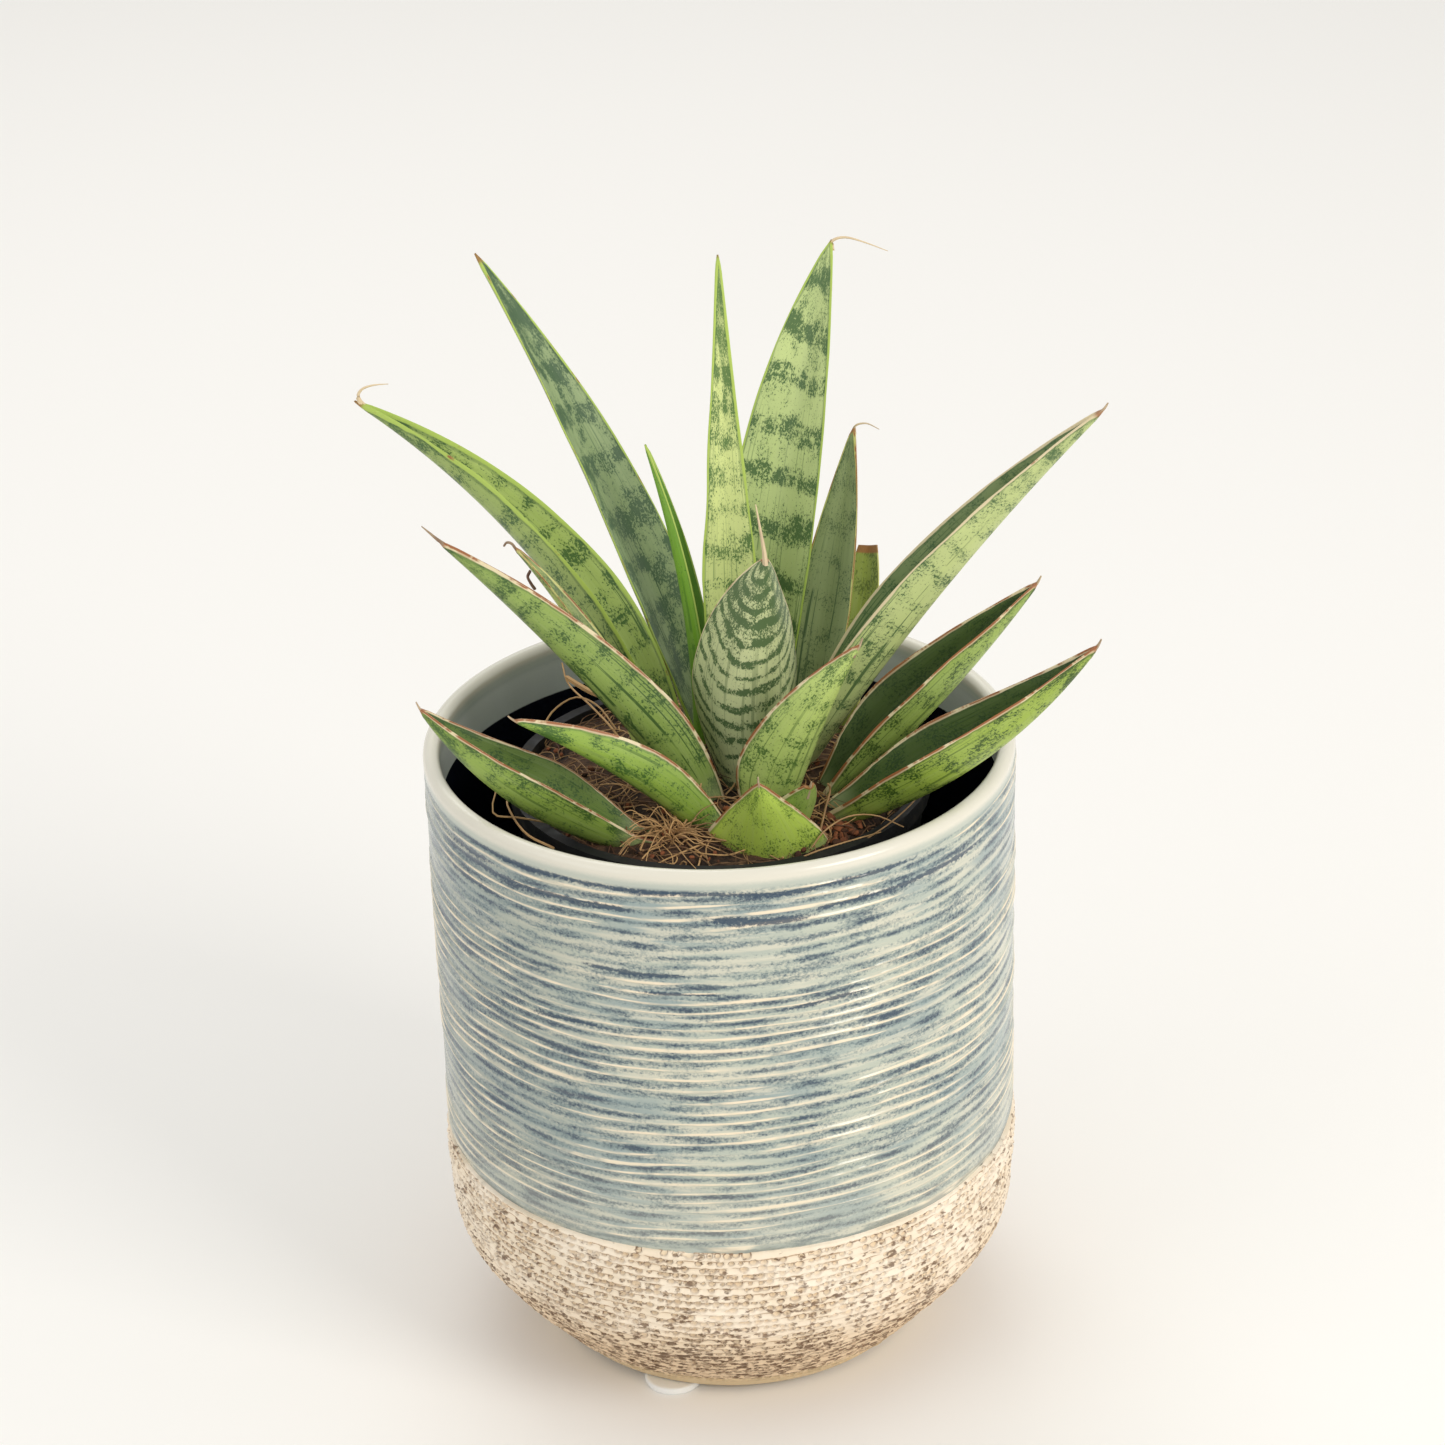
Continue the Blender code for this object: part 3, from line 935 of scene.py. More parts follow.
@dataclass
class Leaf:
    name: str
    foot: tuple             # x and y where it leaves the crown, in mm
    tip: tuple              # x, y and z of its point
    width: float            # at its widest, flattened out
    peak: float = 0.4       # where it is widest, 0 at the foot to 1 at the tip
    foot_width: float = 10
    bow: float = 0          # how far its middle rises above a straight line
    side: float = 0         # how far it swings aside
    fold: float = 75        # how steeply its halves rise from the midrib, in degrees
    roll: tuple = (0, 0)    # its turn about the midrib, at the foot and at the tip
    thick: float = 2.6
    taper: float = 1.6      # 1 narrows in straight lines, more is fuller
    tip_width: float = 0.9
    light: tuple = (170, 202, 130)
    dark: tuple = (68, 112, 64)
    margin: tuple = (206, 206, 128)
    rim: float = 0.9        # width of the pale margin
    dry: float = 0.3        # how much of the margin has dried brown
    pitch: float = 8.0      # distance between two dark bands
    dip: float = 1.5        # how far a band dips in the middle of the blade
    bands: float = 0.5      # how strong the bands, the mottling and the streaks are
    mottle: float = 0.5
    streak: float = 0.6
    inside: float = 0.35    # painted shade: how much darker the gutter's inner face is painted, or below 0 the outer face
    dark_tip: float = 0.0   # how much its upper half darkens
    sunk: float = 3.0       # how far the foot goes down into the compost
    dried_from: float = 0.975
    wavy: float = 0.5       # how far its edges ripple


print("a leaf has", len(fields(Leaf)), "values")

# %% [markdown]
# ## The eighteen leaves
# One formula with eighteen sets of numbers is easier to correct than eighteen shapes. Tall
# narrow leaves stand at the back, broad ones lean out over the rim, and three small ones sit in
# front. Lengths are in mm and colours from 0 to 255.

# %% The eighteen leaves
CREAM = (228, 212, 172)
LIME = (176, 200, 92)

LEAVES = (
    Leaf("leaf_01_far_left", (-9, 1), (-78, 38, 211), 23, foot_width=8, bow=10, side=1, roll=(0, 10),
         light=(184, 204, 114), dark=(56, 94, 44), margin=LIME, dry=0.15, inside=-0.22, mottle=0.65,
         streak=0.9),
    Leaf("leaf_02_tall_left", (-3, 18), (-50, 45, 242), 22, peak=0.34, bow=4.5, fold=30,
         light=(152, 172, 120), dark=(58, 90, 58), margin=LIME, rim=0.5, dry=0.35, streak=1.0,
         mottle=1.0, bands=0.7, pitch=12, inside=0.05),
    Leaf("leaf_03_new_spear", (-5, 9), (-14, 20, 206), 11, peak=0.35, foot_width=4, bow=5, fold=60,
         roll=(40, 40), thick=1.8, light=(132, 182, 60), dark=(65, 120, 35), margin=LIME, rim=0.4,
         dry=0.0, bands=0.1, mottle=0.15, inside=0.5, dried_from=1.1),
    Leaf("leaf_04_tall_centre", (3, 5), (3, 20, 249), 14, foot_width=9, bow=1, fold=35, roll=(10, 10),
         taper=0.95, light=(220, 231, 150), dark=(70, 110, 50), margin=LIME, rim=0.5, dry=0.0,
         bands=0.5, mottle=0.55, dark_tip=0.35, inside=0.0, dried_from=0.99),
    Leaf("leaf_05_tall_right", (9, 14), (28, 44, 243), 23, peak=0.42, bow=4, side=-1, fold=25,
         taper=2.1, light=(212, 228, 153), dark=(60, 98, 52), margin=LIME, rim=0.5, dry=0.1,
         bands=0.9, dip=0.6, pitch=11, mottle=0.5, inside=0.05, dried_from=0.988),
    Leaf("leaf_06_back_right", (18, 13), (32, 36, 202), 14, peak=0.45, foot_width=8, bow=2, side=2,
         fold=25, light=(155, 168, 121), dark=(76, 98, 66), rim=0.4, dry=0.7, streak=1.0, bands=0.3,
         mottle=0.5, inside=0.1),
    Leaf("leaf_07_cut_stub", (26, 18), (35, 34, 174), 9, peak=0.6, foot_width=8, bow=2, side=2,
         fold=25, thick=2.4, taper=2.5, tip_width=5, light=(150, 164, 75), dark=(90, 105, 45), rim=0.3,
         dried_from=0.955, inside=0.0),
    Leaf("leaf_08_long_right", (17, 1), (80, -36, 234), 24, peak=0.38, bow=2.5, side=-1,
         roll=(20, 20), light=(200, 213, 142), dark=(62, 98, 56), margin=CREAM, rim=0.6, dry=0.1,
         streak=0.9, inside=0.65),
    Leaf("leaf_09_mid_right", (22, -12), (69, -10, 184), 25, foot_width=7, bow=-2, roll=(8, 12),
         light=(158, 182, 88), dark=(46, 74, 24), margin=CREAM, rim=0.7, dry=0.75, bands=0.3,
         inside=0.82, mottle=0.65),
    Leaf("leaf_10_low_right", (24, -20), (79, -40, 183), 26, bow=-6, roll=(12, 12), light=(158, 182, 74),
         dark=(40, 72, 18), margin=CREAM, dry=0.75, rim=0.7, bands=0.3, inside=0.85, mottle=0.75),
    Leaf("leaf_11_front_centre", (7, -12), (11, -24, 198), 34, foot_width=13, bow=3, side=0.5, fold=60,
         roll=(-12, -12), thick=2.8, light=(220, 227, 172), dark=(62, 96, 54), margin=CREAM, rim=0.5,
         dry=0.4, bands=1.05, pitch=4.3, dip=7, mottle=0.3, streak=0.4, inside=0.25, dark_tip=0.6),
    Leaf("leaf_12_front_right", (12, -20), (30, -34, 182), 26, peak=0.28, foot_width=15, bow=1, side=1,
         fold=60, roll=(-15, -15), light=(194, 214, 122), dark=(66, 102, 44), margin=CREAM, dry=0.7,
         rim=0.7, bands=0.45, pitch=6, dip=3, mottle=0.55, inside=0.5),
    Leaf("leaf_13_mid_left", (-3, -15), (-58, -8, 197), 26, peak=0.3, foot_width=12, bow=2,
         roll=(25, 25), light=(150, 174, 88), dark=(52, 86, 38), margin=CREAM, dry=0.7, rim=0.7,
         bands=0.55, mottle=0.5, streak=0.9, inside=0.5),
    Leaf("leaf_14_thin_left", (-14, -6), (-43, 4, 190), 9, foot_width=5, bow=3.5, side=1, fold=60,
         thick=2, light=(190, 204, 108), dark=(86, 111, 62), rim=0.5, dry=0.6, inside=0.5),
    Leaf("leaf_15_low_left", (-18, -29), (-63, -27, 167), 25, bow=-6, light=(146, 172, 74),
         dark=(54, 88, 34), margin=CREAM, dry=0.8, rim=0.6, bands=0.35, mottle=0.75, inside=0.5),
    Leaf("leaf_16_lower_left", (-2, -26), (-43, -34, 167), 19, peak=0.4, bow=2, roll=(25, 25),
         light=(150, 180, 72), dark=(58, 96, 38), margin=CREAM, dry=0.75, rim=0.8, bands=0.35,
         mottle=0.8, inside=0.4),
    Leaf("leaf_17_front_stub", (9, -37), (8, -45, 156), 30, peak=0.05, foot_width=28, fold=35, taper=1.1,
         light=(200, 226, 96), dark=(84, 118, 44), margin=CREAM, dry=0.8, rim=0.7, bands=0.1,
         mottle=0.6, streak=0.1, inside=0.1, sunk=7),
    Leaf("leaf_18_small_front", (15, -28), (19, -36, 150), 14, foot_width=9, fold=45, tip_width=3,
         thick=2, light=(172, 198, 100), dark=(71, 111, 40), margin=CREAM, rim=0.7, bands=0.2,
         mottle=0.35, dry=0.7, inside=0.1),
)
print(len(LEAVES), "leaves")

# %% [markdown]
# ## Leaves: the lines along a blade
# Two curves run along a blade. Its width swells from the foot and narrows to the tip. Its spine
# is an arc through three points, and it carries the blade's own directions with it, so that the
# blade can lean and roll without being bent by hand.

# %% Lines along a blade
def blade_width(leaf, t):
    rising = np.sin(math.pi / 2 * np.maximum(t, 0) / leaf.peak)
    rising = leaf.foot_width + (leaf.width - leaf.foot_width) * rising
    left = 1 - (np.maximum(t - leaf.peak, 0) / (1 - leaf.peak)) ** leaf.taper
    return np.where(t < leaf.peak, rising, leaf.tip_width + (leaf.width - leaf.tip_width) * left)


def spine(leaf, t):
    """Place of the midrib and the blade's three directions at each t."""
    start, end = np.array((*leaf.foot, CROWN_Z), float), np.array(leaf.tip, float)
    chord = end - start
    across = np.cross(chord, (0, 0, 1))
    across /= np.linalg.norm(across)
    rise = np.cross(across, chord)
    rise /= np.linalg.norm(rise)
    middle = (start + end) / 2 + rise * leaf.bow * 2 + across * leaf.side * 2
    t = t[:, None]
    place = start * (1 - t) ** 2 + middle * 2 * t * (1 - t) + end * t * t
    along = (middle - start) * (1 - t) + (end - middle) * t
    along /= np.linalg.norm(along, axis=1)[:, None]
    over = np.cross(across, along)
    over /= np.linalg.norm(over, axis=1)[:, None]
    level = np.cross(along, over)
    roll = np.radians(leaf.roll[0] + (leaf.roll[1] - leaf.roll[0]) * t)
    return place, over * np.cos(roll) + level * np.sin(roll), level * np.cos(roll) - over * np.sin(roll)


widest = max(LEAVES, key=lambda leaf: leaf.width)
print("the widest leaf is", widest.name, widest.width, "mm")

# %% [markdown]
# ## Leaves: the lines across a blade
# Across it, a blade is a gutter. The bend is strongest at the midrib and eases off to the edges.
# The blade is thick in the middle and thin at its edges, and the edges ripple a little.

# %% Lines across a blade
def gutter(fold):
    """How the blade's half curls up from the midrib: distance out and height, for each share q."""
    q = np.linspace(0, 1, 121)
    turn = math.radians(fold) * (1 - (1 - q) ** 3)
    step = np.diff(q, prepend=0)
    return q, np.cumsum(np.cos(turn) * step), np.cumsum(np.sin(turn) * step), turn


def half_thickness(leaf, s, t, half, upper):
    """Distance from the blade's middle sheet to its face, thinner to the edges and the tip."""
    thick = np.minimum(leaf.thick * (1 - 0.6 * t), half * 1.2) * (1 - 0.72 * s * s)
    thick = np.maximum(thick, MIN_THICK)
    return thick / 2 * np.sqrt(np.maximum(1 - np.abs(s) ** 12, 0)) * np.where(upper, 1, -1)


def edge_ripple(leaf, s, t, half, length):
    """A slow wave of the edges, a different one on each side."""
    seed = float(sum(leaf.foot)) * 1.7
    at = zip(seed + np.sign(s) * 9, t * length / 13)
    ripple = np.array([noise.noise(Vector((a, b, 0))) for a, b in at])
    return ripple * np.abs(s) ** 3 * leaf.wavy * np.minimum(half / 6, 1) * fade(t, 0.05, 0.3)


print("a gutter of 75 degrees narrows a blade to", round(float(gutter(75)[1][-1]), 2), "of its width")

# %% [markdown]
# ## Leaves: rolling a sheet into a blade
# A blade could be a box that is pinched and bent, but the pattern has to follow the leaf. So a
# flat grid is rolled round it, up one face and back down the other. Every vertex knows how far
# along and across the leaf it is, which sets it on the loft and stays with it for the pattern.
# The seam is welded and the ends are closed.

# %% Blade
RING = 40                     # faces round the blade
STATION_MM = 1.7              # length of a face along it


def blade(leaf):
    length = float(np.linalg.norm(np.array(leaf.tip) - np.array((*leaf.foot, CROWN_Z))))
    stations = max(int(length / STATION_MM), 16)
    bpy.ops.object.select_all(action="DESELECT")
    bpy.ops.mesh.primitive_grid_add(x_subdivisions=RING, y_subdivisions=stations, size=1)
    piece = name_new(leaf.name + "_blade")
    flat = positions(piece)
    ring, t = flat[:, 0] + 0.5, flat[:, 1] + 0.5
    t = t - (1 - t) * leaf.sunk / length
    upper = ring < 0.5
    share = np.where(upper, ring * 2, 2 - ring * 2)
    s = -np.cos(math.pi * share)
    place, over, level = spine(leaf, t)
    half = blade_width(leaf, t) / 2
    if leaf.tip_width < 2:
        half = half * np.sqrt(1 - np.clip((t - 0.965) / 0.035, 0, 0.985) ** 2)
    q, out, up, turn = gutter(leaf.fold)
    bend = np.interp(np.abs(s), q, turn) * np.sign(s)
    off = half_thickness(leaf, s, t, half, upper) + edge_ripple(leaf, s, t, half, length)
    lift = half * np.interp(np.abs(s), q, up) + off * np.cos(bend)
    aside = half * np.interp(np.abs(s), q, out) * np.sign(s) - off * np.sin(bend)
    place_vertices(piece, (place + level * aside[:, None] + over * lift[:, None]) * MM)
    across = s * leaf.width / 2
    store(piece, "blade", "FLOAT_VECTOR", np.stack([across, t * length, np.where(upper, 1, -1)], 1))
    store(piece, "spot", "FLOAT_VECTOR", np.stack([(1 - np.abs(s)) * half, t, s * s], 1))
    close_seams(piece)
    shade_smooth(piece, 70)
    return piece


print("a blade is rolled from", RING, "faces across")

# %% [markdown]
# ## Leaves: the pattern
# All the leaves share one pattern: pale green, with wavering dark bands across and mottling
# between them, fine streaks along the foot, a pale margin and a margin's dry brown edge. It is a
# node group, so that each leaf can set its own strengths and colours. It reads two vectors that
# each vertex carries: its place on the flat blade, and its distance from the edge.

# %% Inputs of the pattern
VECTOR, COLOUR, NUMBER = "NodeSocketVector", "NodeSocketColor", "NodeSocketFloat"
PATTERN_INPUTS = {
    "Blade": VECTOR, "Spot": VECTOR, "Light": COLOUR, "Dark": COLOUR, "Margin": COLOUR,
    "Margin width": NUMBER, "Dryness": NUMBER, "Dried from": NUMBER, "Band pitch": NUMBER,
    "Band dip": NUMBER, "Bands": NUMBER, "Mottle": NUMBER, "Streaks": NUMBER,
    "Inside": NUMBER, "Dark tip": NUMBER,
}
DRY_BROWN = srgb(156, 98, 58)
PALE_FOOT = srgb(188, 200, 150)


def new_pattern_tree():
    tree = bpy.data.node_groups.new("leaf_pattern", "ShaderNodeTree")
    for name, kind in PATTERN_INPUTS.items():
        tree.interface.new_socket(name, in_out="INPUT", socket_type=kind)
    tree.interface.new_socket("Colour", in_out="OUTPUT", socket_type=COLOUR)
    tree.interface.new_socket("Relief", in_out="OUTPUT", socket_type=NUMBER)
    return tree


print("the pattern has", len(PATTERN_INPUTS), "inputs")

# %% [markdown]
# ## Leaves: where the dark marks fall
# The noises are measured in mm along and across the blade, so the marks keep their size on every
# leaf. A wave along the blade makes the bands, a slow drift bends them, and clusters of mottling
# lie between. They add up to how dense the dark is, and a fine grain breaks it into specks.

# %% Dark marks
def blade_noises(r, at):
    sizes = {
        "fibre": ((1.5, 0.05, 3), 3), "drift": ((0.06, 0.07, 7), 3),
        "cluster": ((0.22, 0.14, 11), 3), "broken": ((0.4, 0.3, 13), 3),
        "lines": ((1.9, 0.016, 2), 1), "broad": ((0.07, 0.035, 1), 2),
    }
    noises = {name: r.noise(r.stretch(at, scale), detail=detail) for name, (scale, detail) in sizes.items()}
    noises["grain"] = r.noise(r.stretch(at, (2.0, 1.4, 5)), detail=3, rough=0.75)
    noises["dried"] = r.noise(r.stretch(at, (0.02, 0.12, 9)), detail=4, rough=0.6)
    return noises


def mark_density(r, given, n, t, middle, along):
    dipped = r.math("SUBTRACT", along, r.times(middle, given["Band dip"]))
    phase = r.math("DIVIDE", r.math("MULTIPLY_ADD", n["drift"], 11, dipped), given["Band pitch"])
    phase = r.math("ADD", phase, r.times(n["fibre"], 0.16))
    wave = r.math("SINE", r.math("MULTIPLY", phase, 2 * math.pi))
    broken = r.step(n["broken"], 0.34, 0.58, 0.25, 1.0)
    density = r.times(r.step(wave, -0.3, 0.95), given["Bands"], broken)
    mottled = r.times(r.step(n["cluster"], 0.38, 0.66), given["Mottle"])
    density = r.math("ADD", density, mottled)
    density = r.math("ADD", density, r.times(r.step(t, 0.68, 0.9), given["Mottle"], 0.5))
    patchy = r.step(n["cluster"], 0.3, 0.55, 0.45, 1.0)
    dark_tip = r.times(r.step(t, 0.5, 0.72), patchy, given["Dark tip"])
    return r.math("ADD", density, dark_tip)


def dark_marks(r, given, n, t, density):
    """Specks where the dark is dense, and fine streaks along the lower part."""
    needed = r.math("MULTIPLY_ADD", density, -0.215, 0.65)
    specks = r.step(r.math("SUBTRACT", n["grain"], needed), -0.01, 0.03)
    low, apart = r.step(t, 0.8, 0.45), r.step(n["drift"], 0.42, 0.48)
    streak = r.times(r.step(n["lines"], 0.61, 0.645), given["Streaks"], low, apart)
    return r.math("MAXIMUM", r.times(specks, 0.88), r.times(streak, 0.95))


print("the marks are ready")

# %% [markdown]
# ## Leaves: skin, margin and dry edge
# Under the marks the skin is a pale green that drifts a little, and one face of the gutter is
# painted darker, as painted shade. The margin is a pale line as wide in mm at the foot as at the
# tip, with a dark line inside it. Its very edge has dried brown in places, and so has the tip.

# %% Skin and margin
def skin_colour(r, given, n, t, side, density, darkness):
    drifting = r.step(n["broad"], 0.3, 0.7, 0.0, 0.16)
    light = r.blend(drifting, given["Light"], given["Dark"])
    light = r.blend(r.times(r.step(density, 0.0, 1.0), 0.2), light, given["Dark"])
    light = r.blend(r.times(r.step(n["fibre"], 0.4, 0.7), 0.14), light, PALE_FOOT)
    colour = r.blend(darkness, light, given["Dark"])
    # painted shade: one face of the gutter is darkened towards the dark green
    inner = r.step(side, -0.3, 0.3)
    painted_shade = r.math("MULTIPLY", r.invert(inner), r.math("MULTIPLY", given["Inside"], -1))
    painted_shade = r.math("MAXIMUM", r.math("MULTIPLY", inner, given["Inside"]), painted_shade)
    colour = r.blend(painted_shade, colour, given["Dark"])
    return r.blend(r.times(r.step(t, 0.12, 0.02), 0.5), colour, PALE_FOOT)


def margin_colour(r, given, n, t, edge, colour):
    rim = r.math("MULTIPLY", given["Margin width"], r.step(n["drift"], 0.3, 0.7, 0.5, 1.2))
    across = r.math("DIVIDE", edge, rim)
    margin = r.step(across, 1.1, 0.8)
    colour = r.blend(r.times(r.step(across, 1.9, 1.3), 0.45), colour, given["Dark"])
    colour = r.blend(margin, colour, given["Margin"])
    dried = r.math("ADD", n["dried"], r.math("MULTIPLY_ADD", given["Dryness"], 0.34, -0.17))
    crisp = r.times(r.step(across, 0.75, 0.45), r.step(dried, 0.5, 0.58))
    outer_line = r.times(r.step(across, 1.35, 1.15), r.step(dried, 0.55, 0.6))
    crisp = r.math("MAXIMUM", crisp, r.times(margin, outer_line, 0.4))
    tip = r.step(r.math("SUBTRACT", t, given["Dried from"]), 0.0, 0.012)
    return r.blend(r.math("MAXIMUM", crisp, r.times(tip, 0.85)), colour, DRY_BROWN)


print("skin and margin are ready")

# %% [markdown]
# ## Leaves: the node group and the materials
# The parts are joined in one group, which all the leaves' materials use. Each material only
# gives the group its leaf's own colours and strengths, and the two stored vectors.

# %% Leaf pattern group and materials
def leaf_pattern_group():
    tree = new_pattern_tree()
    r = Recipe(tree)
    given = r.add("NodeGroupInput").outputs
    edge, t, middle = r.add("ShaderNodeSeparateXYZ", {0: given["Spot"]}).outputs
    _, along, side = r.add("ShaderNodeSeparateXYZ", {0: given["Blade"]}).outputs
    noises = blade_noises(r, given["Blade"])
    density = mark_density(r, given, noises, t, middle, along)
    darkness = dark_marks(r, given, noises, t, density)
    colour = skin_colour(r, given, noises, t, side, density, darkness)
    colour = margin_colour(r, given, noises, t, edge, colour)
    relief = r.math("ADD", r.times(noises["fibre"], 0.7), r.times(darkness, 0.3))
    out = r.add("NodeGroupOutput")
    tree.links.new(colour, out.inputs["Colour"])
    tree.links.new(relief, out.inputs["Relief"])
    return tree


def leaf_material(leaf):
    material, r, shader = new_material(leaf.name + "_skin")
    group = r.add("ShaderNodeGroup")
    group.node_tree = leaf_pattern
    values = {
        "Light": srgb(*leaf.light), "Dark": srgb(*leaf.dark), "Margin": srgb(*leaf.margin),
        "Margin width": leaf.rim, "Dryness": leaf.dry, "Dried from": leaf.dried_from,
        "Band pitch": leaf.pitch, "Band dip": leaf.dip, "Bands": leaf.bands,
        "Mottle": leaf.mottle, "Streaks": leaf.streak, "Inside": leaf.inside,
        "Dark tip": leaf.dark_tip,
    }
    for key, value in values.items():
        group.inputs[key].default_value = value
    r.tree.links.new(r.attribute("blade").outputs["Vector"], group.inputs["Blade"])
    r.tree.links.new(r.attribute("spot").outputs["Vector"], group.inputs["Spot"])
    wire(r, shader, group.outputs["Colour"], 0.4, group.outputs["Relief"], bump=0.3)
    shader.inputs["Specular IOR Level"].default_value = 0.45
    return material


leaf_pattern = leaf_pattern_group()
print("the pattern group has", len(leaf_pattern.nodes), "nodes")

# %% [markdown]
# ## Leaves: making them
# Each leaf of the design is replaced by its finer blade. The dry curls at the tips come later,
# as thin pieces of their own.

# %% Make the leaves
for leaf in LEAVES:
    piece = blade(leaf)
    finish_piece(piece, leaf_material(leaf), leaf.name)
print(len(LEAVES), "leaves are made")

# %% [markdown]
# ## Root ball
# The compost is a mat of coir and roots that still has the shape of its nursery pot. It is
# turned like the pots, then its top is roughened, most at the middle where the leaves push up.

# %% Root ball
ball_low, ball_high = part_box("root_ball")
BALL_R = ball_high.x
EDGE_Z = 134 * MM
HEAP_POWER = 2.4
BALL_STEPS = 240
BALL_RINGS = 90


def heap_z(radius):
    """Height of the compost at a distance from the middle."""
    return ball_high.z - (ball_high.z - EDGE_Z) * np.minimum(radius / BALL_R, 1) ** HEAP_POWER


rings = [BALL_R * i / BALL_RINGS for i in range(BALL_RINGS + 1)]
top = [(ring, float(heap_z(ring))) for ring in rings]
side = even([top[-1], (33 * MM, ball_low.z + 2 * MM)], INSIDE_STEP)[1:]
ball_profile = [*top, *side, (32 * MM, ball_low.z), (0, ball_low.z)]
ball = spin_profile("coir_root_ball", ball_profile, BALL_STEPS)
points = positions(ball)
on_top = fade(points[:, 2], EDGE_Z - 0.6 * MM, EDGE_Z + 0.2 * MM)
lumps = wander(points, (90, 90, 90), 1.3) * 0.9 + wander(points, (260, 260, 260), 8.8) * 0.7
lumps += wander(points, (700, 700, 700), 4.1) * 0.4
points[:, 2] += (lumps - 0.35) * MM * on_top
place_vertices(ball, points)
# the height is kept for the compost's colour, where it paints shade in the hollows
store(ball, "lump", "FLOAT", lumps)
shade_smooth(ball, 80)
print("root ball top at", round(float(points[:, 2].max()) / MM, 1), "mm")

# %% [markdown]
# ## The compost's finish
# Compost is never one brown. Its lumps go from near black in the hollows to tan on top; the stored
# height gives part of that as painted shade, and a fine crumb noise the rest. Pale threads of coir
# show through everywhere.

# %% Compost material
COMPOST_DARK = srgb(46, 32, 24)
COMPOST_MID = srgb(92, 66, 46)
COMPOST_TAN = srgb(146, 112, 80)


def compost_material():
    material, r, shader = new_material("coir_compost")
    where = r.object_place()
    tone = r.attribute("lump").outputs["Fac"]
    crumb = r.noise(r.stretch(where, (420, 420, 420)), detail=6, rough=0.7)
    thread = r.noise(r.stretch(where, (160, 900, 300)), detail=3, warp=1.2)
    # painted shade: the stored height darkens the hollows and lightens the tops
    height = r.math("MULTIPLY_ADD", tone, 0.25, crumb)
    colour = r.blend(r.step(height, 0.35, 0.72), COMPOST_DARK, COMPOST_MID)
    colour = r.blend(r.times(r.step(thread, 0.58, 0.7), 0.7), colour, COMPOST_TAN)
    relief = r.math("ADD", crumb, r.times(thread, 0.6))
    wire(r, shader, colour, 0.95, relief, bump=0.8, distance=0.8 * MM)
    return material


finish_piece(ball, compost_material(), "root_ball")
print("the root ball is finished")

# %% [markdown]
# ## Roots and coir fibres
# Thin threads stand out of the compost: springy coir, fine white roots, and a few thick ones. A
# single closed tube is modelled, and each thread is a copy of it laid along its own path.

# %% One thread, to copy
THREAD_SIDES = 5
THREAD_ROWS = 14


def thread_template(sides, rows):
    bpy.ops.object.select_all(action="DESELECT")
    bpy.ops.mesh.primitive_grid_add(x_subdivisions=sides, y_subdivisions=rows, size=1)
    piece = name_new("thread")
    flat = positions(piece)
    turn = 2 * math.pi * (flat[:, 0] + 0.5)
    place_vertices(piece, np.stack([np.cos(turn), np.sin(turn), flat[:, 1] + 0.5], 1))
    close_seams(piece)
    shade_smooth(piece, 60)
    return piece


def copy_of(template, name):
    piece = template.copy()
    piece.data = template.data.copy()
    piece.name = name
    bpy.context.scene.collection.objects.link(piece)
    return piece


fine_thread = thread_template(THREAD_SIDES, THREAD_ROWS)
print("one thread has", len(fine_thread.data.polygons), "faces")

# %% [markdown]
# ## Laying a thread along a path
# A curve with a bevel would do for a cable, but a root tapers and may be flat. Each vertex of the
# copied tube is set beside a smooth curve through the path's points, at a distance that shrinks
# along the way.

# %% Along a path
def along_path(path, t):
    """Points and directions of a smooth curve through path, at each t from 0 to 1."""
    before = 2 * np.array(path[0]) - path[1]
    after = 2 * np.array(path[-1]) - path[-2]
    knots = np.array([before, *path, after], float)
    at = np.clip(t, 0, 1) * (len(path) - 1)
    i = np.minimum(at.astype(int), len(path) - 2)
    u = (at - i)[:, None]
    a, b, c, d = knots[i], knots[i + 1], knots[i + 2], knots[i + 3]
    bend, twist = 2 * a - 5 * b + 4 * c - d, 3 * b - a - 3 * c + d
    place = 0.5 * (2 * b + (c - a) * u + bend * u ** 2 + twist * u ** 3)
    way = (c - a) + 2 * bend * u + 3 * twist * u ** 2
    return place, way / np.maximum(np.linalg.norm(way, axis=1), 1e-9)[:, None]


def lay_thread(template, name, path, thick, thin, flat=1.0, tint=0.5):
    """A tapering thread along path, in mm. thick and thin are its radii at the two ends."""
    piece = copy_of(template, name)
    local = positions(piece)
    place, way = along_path(path, local[:, 2])
    chord = np.array(path[-1], float) - path[0]
    steep = abs(chord[2]) > 0.8 * np.linalg.norm(chord)
    aside = np.cross(way, (0.96, 0.28, 0.05) if steep else (0.05, 0.1, 0.99))
    aside /= np.maximum(np.linalg.norm(aside, axis=1), 1e-9)[:, None]
    above = np.cross(aside, way)
    radius = (thick + (thin - thick) * local[:, 2])[:, None]
    offset = aside * local[:, :1] * radius + above * local[:, 1:2] * radius * flat
    place_vertices(piece, (place + offset) * MM)
    store(piece, "tint", "FLOAT", np.full(len(local), tint))
    return piece


def join_all(name, pieces):
    bpy.ops.object.select_all(action="DESELECT")
    for piece in pieces:
        piece.select_set(True)
    bpy.context.view_layer.objects.active = pieces[0]
    bpy.ops.object.join()
    return name_new(name)


print("halfway along a path:", along_path(((0, 0, 0), (1, 0, 2), (2, 0, 0)), np.array([0.5]))[0])

# %% [markdown]
# ## The roots that catch the eye
# A few roots are placed one by one: a thick one that reaches over the gap at the back left,
# loose loops at the left edge, and a strand across a leaf.

